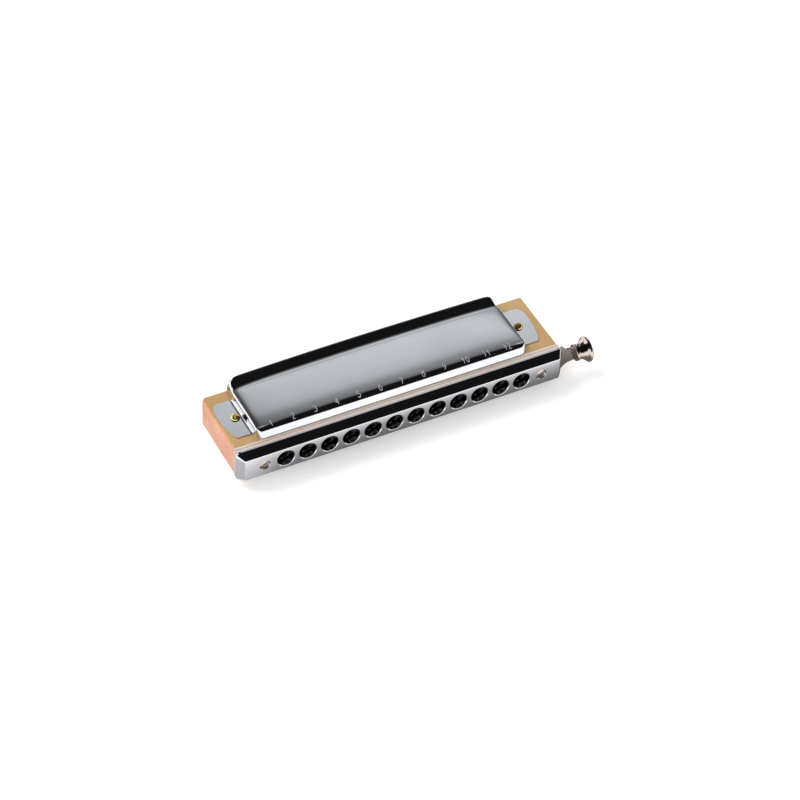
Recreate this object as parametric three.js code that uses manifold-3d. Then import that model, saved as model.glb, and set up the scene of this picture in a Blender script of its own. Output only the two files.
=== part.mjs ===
// Chromatic harmonica with twelve holes and a slide button.
// Millimetres, +Z up. The origin is the centre of the mouthpiece's front face, level with
// the row of holes. +X runs along the body to the button, +Y runs back from the player.

import * as THREE from 'three';
import { mergeVertices } from 'three/addons/utils/BufferGeometryUtils.js';
import Module from 'manifold-3d';

const wasm = await Module();
wasm.setup();

// Driving dimensions

const HOLES = 12;
const PITCH = 8.8;
const HOLE_RADIUS = 3.35;
const SCREW_X = 56.8;

const BODY_HALF_LENGTH = 66;
const BODY_REAR = 34.6;
const COMB_HALF_HEIGHT = 5.57;
const PLATE_THICKNESS = 1.05;
const REAR_CORNER_RADIUS = 0.9;
const COMB_LEFT_OVERHANG = 0.4;

// The layers from front to back along Y
const MOUTHPIECE_DEPTH = 3.9;
const CHANNEL_WALL = 0.7;
const SLIDE_GAP = 0.1;
const SLIDE_THICKNESS = 0.8;
const BACK_PLATE_THICKNESS = 0.9;
const CHANNEL_BACK = MOUTHPIECE_DEPTH + CHANNEL_WALL;
const SLIDE_FRONT = CHANNEL_BACK + SLIDE_GAP;
const SLIDE_BACK = SLIDE_FRONT + SLIDE_THICKNESS;
const BACK_PLATE_FRONT = SLIDE_BACK + SLIDE_GAP;
const COMB_FRONT = BACK_PLATE_FRONT + BACK_PLATE_THICKNESS;
const SLIDE_MIDDLE = (SLIDE_FRONT + SLIDE_BACK) / 2;

// How far a cutting tool runs past the faces it opens, and a drilled hole past its screw's tip
const OVERSHOOT = 1;
const DRILL_ALLOWANCE = 0.4;
const PUNCH = [MOUTHPIECE_DEPTH - OVERSHOOT, COMB_FRONT + OVERSHOOT];

// The slide assembly
const CAGE_HALF_LENGTH = 66.3;
const CAGE_HALF_HEIGHT = 6.5;
const WINDOW_WIDTH = 3.6;
const WINDOW_LOW = 0.9;
const WINDOW_HIGH = 4.1;
const SLIDE_TRAVEL = PITCH / 2;
const SLIDE_LEFT = -61.5;
const SLIDE_HALF_HEIGHT = 5.3;
const NECK_START = 68.3;
const NECK_END = 72.8;
const NECK_HALF_HEIGHT = 3.1;
const NECK_CURVE = 0.3;
const TONGUE_START = 73.5;
const TONGUE_HALF_HEIGHT = 1.8;
const TONGUE_END = 77.3;
const SLEEVE_RADIUS = 1.6;
const SLEEVE_GAP = 0.1;
const SLOT_HALF_HEIGHT = SLEEVE_RADIUS + SLEEVE_GAP;

// The mouthpiece
const FACE_HALF_LENGTH = 64.6;
const FACE_HALF_HEIGHT = 4.9;
const FACE_CORNER_RADIUS = 0.7;
const MOUTHPIECE_HALF_LENGTH = 67;
const MOUTHPIECE_HALF_HEIGHT = 6.7;
const MOUTHPIECE_CORNER_RADIUS = 2.2;
const CHAMFER_DEPTH = 3.3;

// Screws
const SCREW_SHANK_RADIUS = 1.2;
const SHANK_CLEARANCE = 0.05;
const MOUTH_SCREW_HEAD = { radius: 2, height: 1.3, dome: 0.4, slotDepth: 0.6 };
const MOUTH_SCREW_HEAD_FRONT = 0.35;
const MOUTH_SCREW_END = 16.5;
const RECESS_RADIUS = 2.15;
const COVER_SCREW_Y = 20;
const COVER_SCREW_SHANK_RADIUS = 1;
const COVER_SCREW_HEAD = { radius: 1.8, height: 1.5, dome: 1.25, slotDepth: 0.55 };
const COVER_SCREW_TIP = 1.6;
const COVER_SCREW_HOLE_BOTTOM = 1;
const PLATE_SCREW_SHANK_RADIUS = 0.8;
const PLATE_SCREW_HEAD = { radius: 1.4, height: 0.6, dome: 0.3, slotDepth: 0.35 };
const PLATE_SCREW_TIP = 2.4;
const PLATE_SCREW_REAR_Y = 32.8;
const PLATE_SCREW_PLACES = [
  [-5.5 * PITCH, PLATE_SCREW_REAR_Y],
  [0, PLATE_SCREW_REAR_Y],
  [5.5 * PITCH, PLATE_SCREW_REAR_Y],
  [-54, 12],
  [51, 27.5],
];
const SLOT_WIDTH = 0.6;
const DOME_FLATNESS = 0.75;

// Cells in the comb, and the reeds over them
const CELL_HALF_WIDTH = 3.5;
const COMB_WEB_HALF = 0.9;
const REED_SLOT_FRONT = 10.8;
const LONGEST_SLOT = 17;
const SHORTEST_SLOT = 9.5;
const REED_OFFSET = 1.65;
const REED_SLOT_HALF_WIDTH = 1.15;
const REED_HALF_WIDTH = 1;
const REED_TIP_GAP = 0.3;
const TONGUE_THICKNESS = 0.2;
const PAD_THICKNESS = 0.35;
const PAD_LENGTH = 2.4;
const PAD_HALF_WIDTH = 1.25;
const PAD_SINK = 0.1;
const TONGUE_ROOT = 0.5;
const RIVET_RADIUS = 0.6;
const RIVET_HEIGHT = 0.7;
const CELL_BEHIND_SLOT = 3.2;
const VALVE_HALF_WIDTH = 1.3;
const VALVE_THICKNESS = 0.2;
const VALVE_OVERLAP = 0.7;
const VALVE_GLUE_LENGTH = 2.4;

// The covers
const COVER_CENTRE_X = -1.25;
const COVER_SHEET = 0.5;
const COVER_HALF_LENGTH = 55.6;
const COVER_FRONT = 6.9;
const COVER_REAR = 35;
const COVER_DRAFT = 0.35;
const PANEL_HEIGHT = 11.2;
const FACE_LEAN = THREE.MathUtils.degToRad(14);
const FRONT_ROUND = 2.6;
const PANEL_END_RADIUS = 1.7;
const PLAN_CORNER_RADIUS = 1.8;
const RIDGE_HEIGHT = 13.5;
const RIDGE_END_RADIUS = 3.8;
const RAMP_START = 31.6;
const RAMP_RUN = 2.5;
const RAMP_FOOT_FLAT = 0.4;
const RAMP_FOOT_RISE = 0.35;
const CREST_EASE = 0.5;
const INSIDE_RAMP_SHIFT = 0.2;
const SHELL_OPEN_BACK = 2;
const TAB_HALF_LENGTH = 64.15;
const TAB_FRONT = 10.35;
const TAB_REAR = 29.25;
const TAB_CORNER = 3.6;
const TAB_BULGE = 1.3;
const TAB_FRONT_LEAN = 0.3;
const TAB_REAR_LEAN = 0.8;
const TAB_BULGE_SHIFT = 1.5;
const TAB_SCREW_X = 58.3;

// The button: radii and how far along from the slide's shoulder each stands, with a rounded
// collar, a waist and a flared rim
const BUTTON_PROFILE = [
  [0, 0], [2.85, 0], [3.2, 0.2], [3.3, 0.6], [3.25, 1.1], [3.12, 1.7], [3.12, 2.3],
  [3.4, 3.1], [4, 3.9], [4.6, 4.5], [4.95, 4.95], [5.05, 5.35], [4.9, 5.8], [4.35, 6.1],
  [0, 6.1],
];
const BUTTON_SLACK = 0.05;

// The return spring, a hairpin of wire in a pocket of the comb
const WIRE_RADIUS = 0.35;
const SPRING_Z = -3.2;
const SPRING_TIP_X = 61;
const SPRING_TIP_FRONT = SLIDE_FRONT + 0.15;
const SPRING_LEAN_Y = COMB_FRONT + 1.5;
const SPRING_LEAN = 0.1;
const SPRING_BEND_Y = 17.5;
const SPRING_BEND_X = SPRING_TIP_X + 0.6;
const SPRING_BEND_RADIUS = 1.5;
const SPRING_BEND_RUN = 3;
const SPRING_FOOT_Y = 9;
const SPRING_FOOT_SPREAD = 0.9;
const SPRING_KNEE_SPREAD = 0.5;
const POCKET_LOW = -4.1;
const POCKET_HIGH = -2.3;
const POCKET_LEFT = 5.1;
const POCKET_BEND_LEFT = 2.1;
const POCKET_RIGHT = 3.6;
const POCKET_BEHIND_BEND = 3.5;
const POCKET_MOUTH_DEPTH = 0.5;
const POCKET_SLOPE_DEPTH = 6;
const WIRE_HOLE_RADIUS = 0.6;
const WIRE_SLOT_HALF_HEIGHT = 0.75;
const WIRE_SLOT_END = 0.9;

const BUTTON_STEPS = 24;
const ROUND_STEPS = 20;
const RECESS_STEPS = 16;
const SMALL_STEPS = 12;
const PLATE_SCREW_STEPS = 8;
const RIVET_STEPS = 6;

// Materials

function finish(color, roughness, metalness) {
  return new THREE.MeshStandardMaterial({ color, roughness, metalness });
}

const chrome = finish('#c9ccd2', 0.12, 1);
const slideMetal = finish('#b9b4a8', 0.25, 1);
const brass = finish('#caa064', 0.35, 1);
const screwBrass = finish('#c8b060', 0.25, 1);
const wood = finish('#e2ab8b', 0.6, 0);
const rubber = finish('#2a2a2b', 0.85, 0);
const springSteel = finish('#9a9a9c', 0.3, 1);
const valveFilm = finish('#e9e6dc', 0.5, 0);

// Solid helpers

function solid(geometry) {
  const bare = geometry.clone();
  bare.deleteAttribute('normal');
  bare.deleteAttribute('uv');
  const merged = mergeVertices(bare, 1e-4);
  return new wasm.Manifold(new wasm.Mesh({
    numProp: 3,
    vertProperties: new Float32Array(merged.attributes.position.array),
    triVerts: new Uint32Array(merged.index.array),
  }));
}

function geometryOf(manifold) {
  const mesh = manifold.getMesh();
  const geometry = new THREE.BufferGeometry();
  geometry.setAttribute('position', new THREE.BufferAttribute(mesh.vertProperties, 3));
  geometry.setIndex(new THREE.BufferAttribute(mesh.triVerts, 1));
  geometry.computeVertexNormals();
  return geometry;
}

function joined(pieces) {
  return pieces.reduce((sum, piece) => sum.add(piece));
}

function cut(body, tools) {
  return tools.reduce((rest, tool) => rest.subtract(tool), body);
}

function block(x0, x1, y0, y1, z0, z1) {
  const geometry = new THREE.BoxGeometry(x1 - x0, y1 - y0, z1 - z0);
  geometry.translate((x0 + x1) / 2, (y0 + y1) / 2, (z0 + z1) / 2);
  return solid(geometry);
}

function rodAlongY(x, z, radius, y0, y1, sides = SMALL_STEPS) {
  const geometry = new THREE.CylinderGeometry(radius, radius, y1 - y0, sides);
  geometry.translate(x, (y0 + y1) / 2, z);
  return solid(geometry);
}

function rodAlongZ(x, y, radius, z0, z1, sides = SMALL_STEPS) {
  const geometry = new THREE.CylinderGeometry(radius, radius, z1 - z0, sides);
  geometry.rotateX(Math.PI / 2);
  geometry.translate(x, y, (z0 + z1) / 2);
  return solid(geometry);
}

function extruded(shape, depth, curveSegments = 4) {
  return new THREE.ExtrudeGeometry(shape, { depth, curveSegments, bevelEnabled: false });
}

// A shape drawn in X and Y, from z0 up to z1.
function extrudedUp(shape, z0, z1) {
  const geometry = extruded(shape, z1 - z0);
  geometry.translate(0, 0, z0);
  return geometry;
}

// A shape drawn in X and Z, from y0 back to y1.
function extrudedBack(shape, y0, y1) {
  const geometry = extruded(shape, y1 - y0);
  geometry.rotateX(Math.PI / 2);
  geometry.translate(0, y1, 0);
  return geometry;
}

// A shape drawn in Y and Z, from x0 along to x1.
function extrudedAlong(shape, x0, x1) {
  const geometry = extruded(shape, x1 - x0);
  const toBody = new THREE.Matrix4().makeBasis(
    new THREE.Vector3(0, 1, 0),
    new THREE.Vector3(0, 0, 1),
    new THREE.Vector3(1, 0, 0),
  );
  geometry.applyMatrix4(toBody);
  geometry.translate(x0, 0, 0);
  return geometry;
}

// A slot with round ends, along the first axis.
function slotShape(u0, u1, v, radius) {
  const shape = new THREE.Shape();
  shape.moveTo(u0 + radius, v - radius);
  shape.lineTo(u1 - radius, v - radius);
  shape.absarc(u1 - radius, v, radius, -Math.PI / 2, Math.PI / 2, false);
  shape.lineTo(u0 + radius, v + radius);
  shape.absarc(u0 + radius, v, radius, Math.PI / 2, 1.5 * Math.PI, false);
  return shape;
}

// A solid of revolution whose profile, in radius and height, goes up from the axis and back.
function turned(profile, steps = ROUND_STEPS) {
  return new THREE.LatheGeometry(profile, steps);
}

// A closed skin over convex rings with equal numbers of points, from the first to the last.
function loft(rings) {
  const count = rings[0].length;
  const points = rings.flat();
  const index = [];
  for (let ring = 0; ring < rings.length - 1; ring += 1) {
    for (let i = 0; i < count; i += 1) {
      const a = ring * count + i;
      const b = ring * count + (i + 1) % count;
      index.push(a, b, a + count, b, b + count, a + count);
    }
  }
  const last = (rings.length - 1) * count;
  for (let i = 1; i < count - 1; i += 1) {
    index.push(0, i + 1, i);
    index.push(last, last + i, last + i + 1);
  }
  const geometry = new THREE.BufferGeometry().setFromPoints(points);
  geometry.setIndex(index);
  return geometry;
}

const model = new THREE.Group();

function addPart(name, geometry, material) {
  const mesh = new THREE.Mesh(geometry, material);
  mesh.name = name;
  model.add(mesh);
  return mesh;
}

function holeX(index) {
  return (index - (HOLES - 1) / 2) * PITCH;
}

const holePlaces = Array.from({ length: HOLES }, (_, index) => holeX(index));

function slotLength(index) {
  return THREE.MathUtils.lerp(LONGEST_SLOT, SHORTEST_SLOT, index / (HOLES - 1));
}

const plateTop = COMB_HALF_HEIGHT + PLATE_THICKNESS;
const tabScrewPlaces = [COVER_CENTRE_X - TAB_SCREW_X, COVER_CENTRE_X + TAB_SCREW_X];

// The comb: a wooden block with an upper and a lower cell behind each hole.

function bodyOutline(leftOverhang) {
  const shape = new THREE.Shape();
  const r = REAR_CORNER_RADIUS;
  const left = -BODY_HALF_LENGTH - leftOverhang;
  shape.moveTo(left, COMB_FRONT);
  shape.lineTo(BODY_HALF_LENGTH, COMB_FRONT);
  shape.lineTo(BODY_HALF_LENGTH, BODY_REAR - r);
  shape.absarc(BODY_HALF_LENGTH - r, BODY_REAR - r, r, 0, Math.PI / 2, false);
  shape.lineTo(left + r, BODY_REAR);
  shape.absarc(left + r, BODY_REAR - r, r, Math.PI / 2, Math.PI, false);
  shape.closePath();
  return shape;
}

function springPocketShape() {
  const shape = new THREE.Shape();
  const left = SPRING_TIP_X - POCKET_LEFT;
  const bendLeft = SPRING_TIP_X - POCKET_BEND_LEFT;
  const right = SPRING_TIP_X + POCKET_RIGHT;
  const rear = SPRING_BEND_Y + POCKET_BEHIND_BEND;
  shape.moveTo(left, COMB_FRONT - OVERSHOOT);
  shape.lineTo(right, COMB_FRONT - OVERSHOOT);
  shape.lineTo(right, rear);
  shape.lineTo(bendLeft, rear);
  shape.lineTo(bendLeft, COMB_FRONT + POCKET_SLOPE_DEPTH);
  shape.lineTo(left, COMB_FRONT + POCKET_MOUTH_DEPTH);
  shape.closePath();
  return shape;
}

function makeComb() {
  const outline = bodyOutline(COMB_LEFT_OVERHANG);
  const body = solid(extrudedUp(outline, -COMB_HALF_HEIGHT, COMB_HALF_HEIGHT));
  const above = COMB_HALF_HEIGHT + OVERSHOOT;
  const tools = [];
  holePlaces.forEach((x, index) => {
    const back = REED_SLOT_FRONT + slotLength(index) + CELL_BEHIND_SLOT;
    const sides = [x - CELL_HALF_WIDTH, x + CELL_HALF_WIDTH, COMB_FRONT - OVERSHOOT, back];
    tools.push(block(...sides, COMB_WEB_HALF, above));
    tools.push(block(...sides, -above, -COMB_WEB_HALF));
  });
  for (const side of [-1, 1]) {
    const radius = SCREW_SHANK_RADIUS + SHANK_CLEARANCE;
    const bottom = MOUTH_SCREW_END + DRILL_ALLOWANCE;
    tools.push(rodAlongY(side * SCREW_X, 0, radius, COMB_FRONT - OVERSHOOT, bottom));
  }
  const coverHole = COVER_SCREW_SHANK_RADIUS + SHANK_CLEARANCE;
  const plateHole = PLATE_SCREW_SHANK_RADIUS + SHANK_CLEARANCE;
  const plateBottom = PLATE_SCREW_TIP - DRILL_ALLOWANCE;
  for (const x of tabScrewPlaces) {
    tools.push(rodAlongZ(x, COVER_SCREW_Y, coverHole, COVER_SCREW_HOLE_BOTTOM, above));
    tools.push(rodAlongZ(x, COVER_SCREW_Y, coverHole, -above, -COVER_SCREW_HOLE_BOTTOM));
  }
  for (const [x, y] of PLATE_SCREW_PLACES) {
    tools.push(rodAlongZ(x, y, plateHole, plateBottom, above, PLATE_SCREW_STEPS));
    tools.push(rodAlongZ(x, y, plateHole, -above, -plateBottom, PLATE_SCREW_STEPS));
  }
  tools.push(solid(extrudedUp(springPocketShape(), POCKET_LOW, POCKET_HIGH)));
  return geometryOf(cut(body, tools));
}

// A reed plate with its 24 slots, and the 24 reeds that are riveted to it. Each cell has one
// reed outside, riveted at the front, and one inside the cell, riveted at the back.

function reed(x, rivetY, tipY, face, side) {
  const toTip = Math.sign(tipY - rivetY);
  const padEnd = rivetY + toTip * PAD_LENGTH / 2;
  const padStart = rivetY - toTip * PAD_LENGTH / 2;
  const sink = face - side * PAD_SINK;
  function layer(halfWidth, y0, y1, height) {
    return block(
      x - halfWidth, x + halfWidth,
      Math.min(y0, y1), Math.max(y0, y1),
      Math.min(sink, face + side * height), Math.max(sink, face + side * height),
    );
  }
  const pad = layer(PAD_HALF_WIDTH, padStart, padEnd, PAD_THICKNESS);
  const rootY = padEnd - toTip * TONGUE_ROOT;
  const tongueTop = face + side * TONGUE_THICKNESS;
  const tongue = block(
    x - REED_HALF_WIDTH, x + REED_HALF_WIDTH,
    Math.min(rootY, tipY), Math.max(rootY, tipY),
    Math.min(face, tongueTop), Math.max(face, tongueTop),
  );
  const rivetLow = Math.min(sink, face + side * RIVET_HEIGHT);
  const rivetHigh = Math.max(sink, face + side * RIVET_HEIGHT);
  const rivet = rodAlongZ(x, rivetY, RIVET_RADIUS, rivetLow, rivetHigh, RIVET_STEPS);
  return joined([pad, tongue, rivet]);
}

function makeReedPlate() {
  const low = COMB_HALF_HEIGHT;
  const high = plateTop;
  const through = [low - OVERSHOOT, high + OVERSHOOT];
  const tools = [];
  const reeds = [];
  holePlaces.forEach((x, index) => {
    const back = REED_SLOT_FRONT + slotLength(index);
    for (const side of [-1, 1]) {
      const slotX = x + side * REED_OFFSET;
      const across = [slotX - REED_SLOT_HALF_WIDTH, slotX + REED_SLOT_HALF_WIDTH];
      tools.push(block(...across, REED_SLOT_FRONT, back, ...through));
    }
    const frontRivet = REED_SLOT_FRONT - PAD_LENGTH / 2;
    const backRivet = back + PAD_LENGTH / 2;
    reeds.push(reed(x - REED_OFFSET, frontRivet, back - REED_TIP_GAP, high, 1));
    reeds.push(reed(x + REED_OFFSET, backRivet, REED_SLOT_FRONT + REED_TIP_GAP, low, -1));
  });
  for (const x of tabScrewPlaces) {
    const radius = COVER_SCREW_SHANK_RADIUS + SHANK_CLEARANCE;
    tools.push(rodAlongZ(x, COVER_SCREW_Y, radius, ...through));
  }
  for (const [x, y] of PLATE_SCREW_PLACES) {
    const radius = PLATE_SCREW_SHANK_RADIUS + SHANK_CLEARANCE;
    tools.push(rodAlongZ(x, y, radius, ...through, PLATE_SCREW_STEPS));
  }
  const plate = cut(solid(extrudedUp(bodyOutline(0), low, high)), tools);
  return geometryOf(joined([plate, ...reeds]));
}

// A windsaver valve: a thin flap glued down behind the slot of a reed inside the cell, and
// lying over that slot on the plate's outer face.

function makeValve(index) {
  const x = holeX(index) + REED_OFFSET;
  const tip = REED_SLOT_FRONT - VALVE_OVERLAP;
  const rear = REED_SLOT_FRONT + slotLength(index) + VALVE_GLUE_LENGTH;
  const half = VALVE_HALF_WIDTH;
  const shape = new THREE.Shape();
  shape.moveTo(x - half, rear);
  shape.lineTo(x - half, tip + half / 2);
  shape.lineTo(x - half / 2, tip);
  shape.lineTo(x + half / 2, tip);
  shape.lineTo(x + half, tip + half / 2);
  shape.lineTo(x + half, rear);
  shape.closePath();
  return extrudedUp(shape, plateTop, plateTop + VALVE_THICKNESS);
}

// The mouthpiece: a bar with wide chamfers all round, twelve bores and two screw recesses.

function roundedRing(halfX, halfZ, radius, y, cornerSteps = 4) {
  const ring = [];
  for (let corner = 0; corner < 4; corner += 1) {
    const centreX = (corner === 0 || corner === 3 ? 1 : -1) * (halfX - radius);
    const centreZ = (corner < 2 ? 1 : -1) * (halfZ - radius);
    for (let step = 0; step <= cornerSteps; step += 1) {
      const angle = (corner + step / cornerSteps) * Math.PI / 2;
      ring.push(new THREE.Vector3(
        centreX + radius * Math.cos(angle), y, centreZ + radius * Math.sin(angle),
      ));
    }
  }
  return ring;
}

function makeMouthpiece() {
  const rearRing = [MOUTHPIECE_HALF_LENGTH, MOUTHPIECE_HALF_HEIGHT, MOUTHPIECE_CORNER_RADIUS];
  const body = solid(loft([
    roundedRing(...rearRing, MOUTHPIECE_DEPTH),
    roundedRing(...rearRing, CHAMFER_DEPTH),
    roundedRing(FACE_HALF_LENGTH, FACE_HALF_HEIGHT, FACE_CORNER_RADIUS, 0),
  ]));
  const through = MOUTHPIECE_DEPTH + OVERSHOOT;
  const tools = holePlaces.map((x) => (
    rodAlongY(x, 0, HOLE_RADIUS, -OVERSHOOT, through, ROUND_STEPS)
  ));
  const seat = MOUTH_SCREW_HEAD_FRONT + MOUTH_SCREW_HEAD.height;
  for (const x of [-SCREW_X, SCREW_X]) {
    tools.push(rodAlongY(x, 0, RECESS_RADIUS, -OVERSHOOT, seat, RECESS_STEPS));
    tools.push(rodAlongY(x, 0, SCREW_SHANK_RADIUS + SHANK_CLEARANCE, 0, through));
  }
  return geometryOf(cut(body, tools));
}

// The windows behind each hole: one for the upper cell and one for the lower cell.

function windowTools(upperShift, lowerShift) {
  const half = WINDOW_WIDTH / 2;
  return holePlaces.flatMap((x) => {
    const upper = [x + upperShift - half, x + upperShift + half, ...PUNCH];
    const lower = [x + lowerShift - half, x + lowerShift + half, ...PUNCH];
    return [block(...upper, WINDOW_LOW, WINDOW_HIGH), block(...lower, -WINDOW_HIGH, -WINDOW_LOW)];
  });
}

function shankTools() {
  const radius = SCREW_SHANK_RADIUS + SHANK_CLEARANCE;
  return [-SCREW_X, SCREW_X].map((x) => rodAlongY(x, 0, radius, ...PUNCH));
}

function cagePlate(y0, y1) {
  const across = CAGE_HALF_LENGTH;
  return block(-across, across, y0, y1, -CAGE_HALF_HEIGHT, CAGE_HALF_HEIGHT);
}

// The channel: the front plate, with its two long edges folded back over the slide.

function makeSlideChannel() {
  const front = cagePlate(MOUTHPIECE_DEPTH, CHANNEL_BACK);
  const plate = cut(front, [...windowTools(0, 0), ...shankTools()]);
  const flanges = [-1, 1].map((side) => {
    const outer = side * CAGE_HALF_HEIGHT;
    const inner = side * (CAGE_HALF_HEIGHT - CHANNEL_WALL);
    return block(
      -CAGE_HALF_LENGTH, CAGE_HALF_LENGTH,
      MOUTHPIECE_DEPTH, BACK_PLATE_FRONT,
      Math.min(outer, inner), Math.max(outer, inner),
    );
  });
  return geometryOf(joined([plate, ...flanges]));
}

function makeBackPlate() {
  const wireSlot = slotShape(
    SPRING_TIP_X - SLIDE_TRAVEL - WIRE_SLOT_END,
    SPRING_TIP_X + WIRE_SLOT_END,
    SPRING_Z,
    WIRE_SLOT_HALF_HEIGHT,
  );
  const tools = [...windowTools(0, 0), ...shankTools(), solid(extrudedBack(wireSlot, ...PUNCH))];
  return geometryOf(cut(cagePlate(BACK_PLATE_FRONT, COMB_FRONT), tools));
}

// The slide: its upper windows stand at the holes at rest, its lower ones when it is pressed.

function slideOutline() {
  const shape = new THREE.Shape();
  const wide = SLIDE_HALF_HEIGHT;
  const neck = NECK_HALF_HEIGHT;
  const curveX = THREE.MathUtils.lerp(NECK_START, NECK_END, NECK_CURVE);
  shape.moveTo(SLIDE_LEFT, -wide);
  shape.lineTo(NECK_START, -wide);
  shape.quadraticCurveTo(curveX, -neck, NECK_END, -neck);
  shape.lineTo(TONGUE_START, -neck);
  shape.lineTo(TONGUE_START, -TONGUE_HALF_HEIGHT);
  shape.lineTo(TONGUE_END, -TONGUE_HALF_HEIGHT);
  shape.lineTo(TONGUE_END, TONGUE_HALF_HEIGHT);
  shape.lineTo(TONGUE_START, TONGUE_HALF_HEIGHT);
  shape.lineTo(TONGUE_START, neck);
  shape.lineTo(NECK_END, neck);
  shape.quadraticCurveTo(curveX, neck, NECK_START, wide);
  shape.lineTo(SLIDE_LEFT, wide);
  shape.closePath();
  return shape;
}

function makeSlide() {
  const tools = windowTools(0, SLIDE_TRAVEL);
  for (const x of [-SCREW_X, SCREW_X]) {
    const near = x - SLEEVE_RADIUS - SLEEVE_GAP;
    const far = x + SLEEVE_RADIUS + SLEEVE_GAP + SLIDE_TRAVEL;
    tools.push(solid(extrudedBack(slotShape(near, far, 0, SLOT_HALF_HEIGHT), ...PUNCH)));
  }
  tools.push(rodAlongY(SPRING_TIP_X, SPRING_Z, WIRE_HOLE_RADIUS, ...PUNCH));
  return geometryOf(cut(solid(extrudedBack(slideOutline(), SLIDE_FRONT, SLIDE_BACK)), tools));
}

// The button: a trumpet-shaped knob with a slit for the slide's tongue.

function makeButton() {
  const profile = BUTTON_PROFILE.map(([radius, along]) => new THREE.Vector2(radius, along));
  const knob = turned(profile, BUTTON_STEPS);
  knob.rotateZ(-Math.PI / 2);
  knob.translate(TONGUE_START, SLIDE_MIDDLE, 0);
  const slitHalfHeight = TONGUE_HALF_HEIGHT + BUTTON_SLACK;
  const slit = block(
    TONGUE_START - OVERSHOOT, TONGUE_END + BUTTON_SLACK,
    SLIDE_FRONT - BUTTON_SLACK, SLIDE_BACK + BUTTON_SLACK,
    -slitHalfHeight, slitHalfHeight,
  );
  return geometryOf(cut(solid(knob), [slit]));
}

function makeSpring() {
  const bendLeft = SPRING_BEND_X - SPRING_BEND_RADIUS;
  const bendRight = SPRING_BEND_X + SPRING_BEND_RADIUS;
  const kneeY = SPRING_FOOT_Y + SPRING_BEND_RUN;
  const points = [
    new THREE.Vector3(SPRING_TIP_X, SPRING_TIP_FRONT, SPRING_Z),
    new THREE.Vector3(SPRING_TIP_X, BACK_PLATE_FRONT, SPRING_Z),
    new THREE.Vector3(SPRING_TIP_X - SPRING_LEAN, SPRING_LEAN_Y, SPRING_Z),
    new THREE.Vector3(bendLeft + SPRING_LEAN, SPRING_BEND_Y - SPRING_BEND_RUN, SPRING_Z),
  ];
  const bendSteps = 6;
  for (let step = 0; step <= bendSteps; step += 1) {
    const angle = Math.PI * (1 - step / bendSteps);
    points.push(new THREE.Vector3(
      SPRING_BEND_X + SPRING_BEND_RADIUS * Math.cos(angle),
      SPRING_BEND_Y + SPRING_BEND_RADIUS * Math.sin(angle),
      SPRING_Z,
    ));
  }
  points.push(new THREE.Vector3(bendRight + SPRING_KNEE_SPREAD, kneeY, SPRING_Z));
  points.push(new THREE.Vector3(bendRight + SPRING_FOOT_SPREAD, SPRING_FOOT_Y, SPRING_Z));
  const section = new THREE.Shape();
  section.absarc(0, 0, WIRE_RADIUS, 0, 2 * Math.PI, false);
  return new THREE.ExtrudeGeometry(section, {
    steps: 28,
    curveSegments: 4,
    bevelEnabled: false,
    extrudePath: new THREE.CatmullRomCurve3(points),
  });
}

function makeSleeve(x) {
  const tube = rodAlongY(x, 0, SLEEVE_RADIUS, CHANNEL_BACK, BACK_PLATE_FRONT, RECESS_STEPS);
  const inside = SCREW_SHANK_RADIUS + SHANK_CLEARANCE;
  const bore = rodAlongY(x, 0, inside, ...PUNCH);
  return geometryOf(cut(tube, [bore]));
}

// A slotted screw that stands on its tip along +Z: shank, then a round head at the top.

function makeScrew(shank, length, head, steps) {
  const profile = new THREE.Path();
  const top = length + head.height;
  profile.moveTo(0, 0);
  profile.lineTo(shank, shank);
  profile.lineTo(shank, length);
  profile.lineTo(head.radius, length);
  profile.lineTo(head.radius, top - head.dome);
  profile.quadraticCurveTo(head.radius * DOME_FLATNESS, top, 0, top);
  const screw = turned(profile.getPoints(2), steps);
  screw.rotateX(Math.PI / 2);
  const reach = head.radius + OVERSHOOT;
  const half = SLOT_WIDTH / 2;
  const slot = block(-reach, reach, -half, half, top - head.slotDepth, top + OVERSHOOT);
  return geometryOf(cut(solid(screw), [slot]));
}

// The cover: a thin pressed shell, open below and at the back, with a flat tab at each end.
// Its profiles are drawn twice: at inset 0 for the outside, and at the sheet's thickness for
// the inside, which runs out below and behind.

function coverLow(inset) {
  return plateTop - (inset > 0 ? OVERSHOOT : 0);
}

function coverBack(inset) {
  return COVER_REAR + (inset > 0 ? SHELL_OPEN_BACK : 0);
}

function coverPanelProfile(inset) {
  const shape = new THREE.Shape();
  const low = coverLow(inset);
  const rear = coverBack(inset);
  const top = PANEL_HEIGHT - inset;
  const round = FRONT_ROUND - inset;
  const roundZ = PANEL_HEIGHT - FRONT_ROUND;
  const slope = Math.tan(FACE_LEAN);
  const faceRun = slope * (roundZ + FRONT_ROUND * Math.sin(FACE_LEAN) - plateTop);
  const roundY = COVER_FRONT + FRONT_ROUND * Math.cos(FACE_LEAN) + faceRun;
  const faceHeight = roundZ + round * Math.sin(FACE_LEAN) - low;
  const foot = roundY - round * Math.cos(FACE_LEAN) - slope * faceHeight;
  shape.moveTo(foot, low);
  shape.lineTo(rear, low);
  shape.lineTo(rear, top);
  shape.lineTo(roundY, top);
  shape.absarc(roundY, roundZ, round, Math.PI / 2, Math.PI - FACE_LEAN, false);
  shape.closePath();
  return shape;
}

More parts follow.
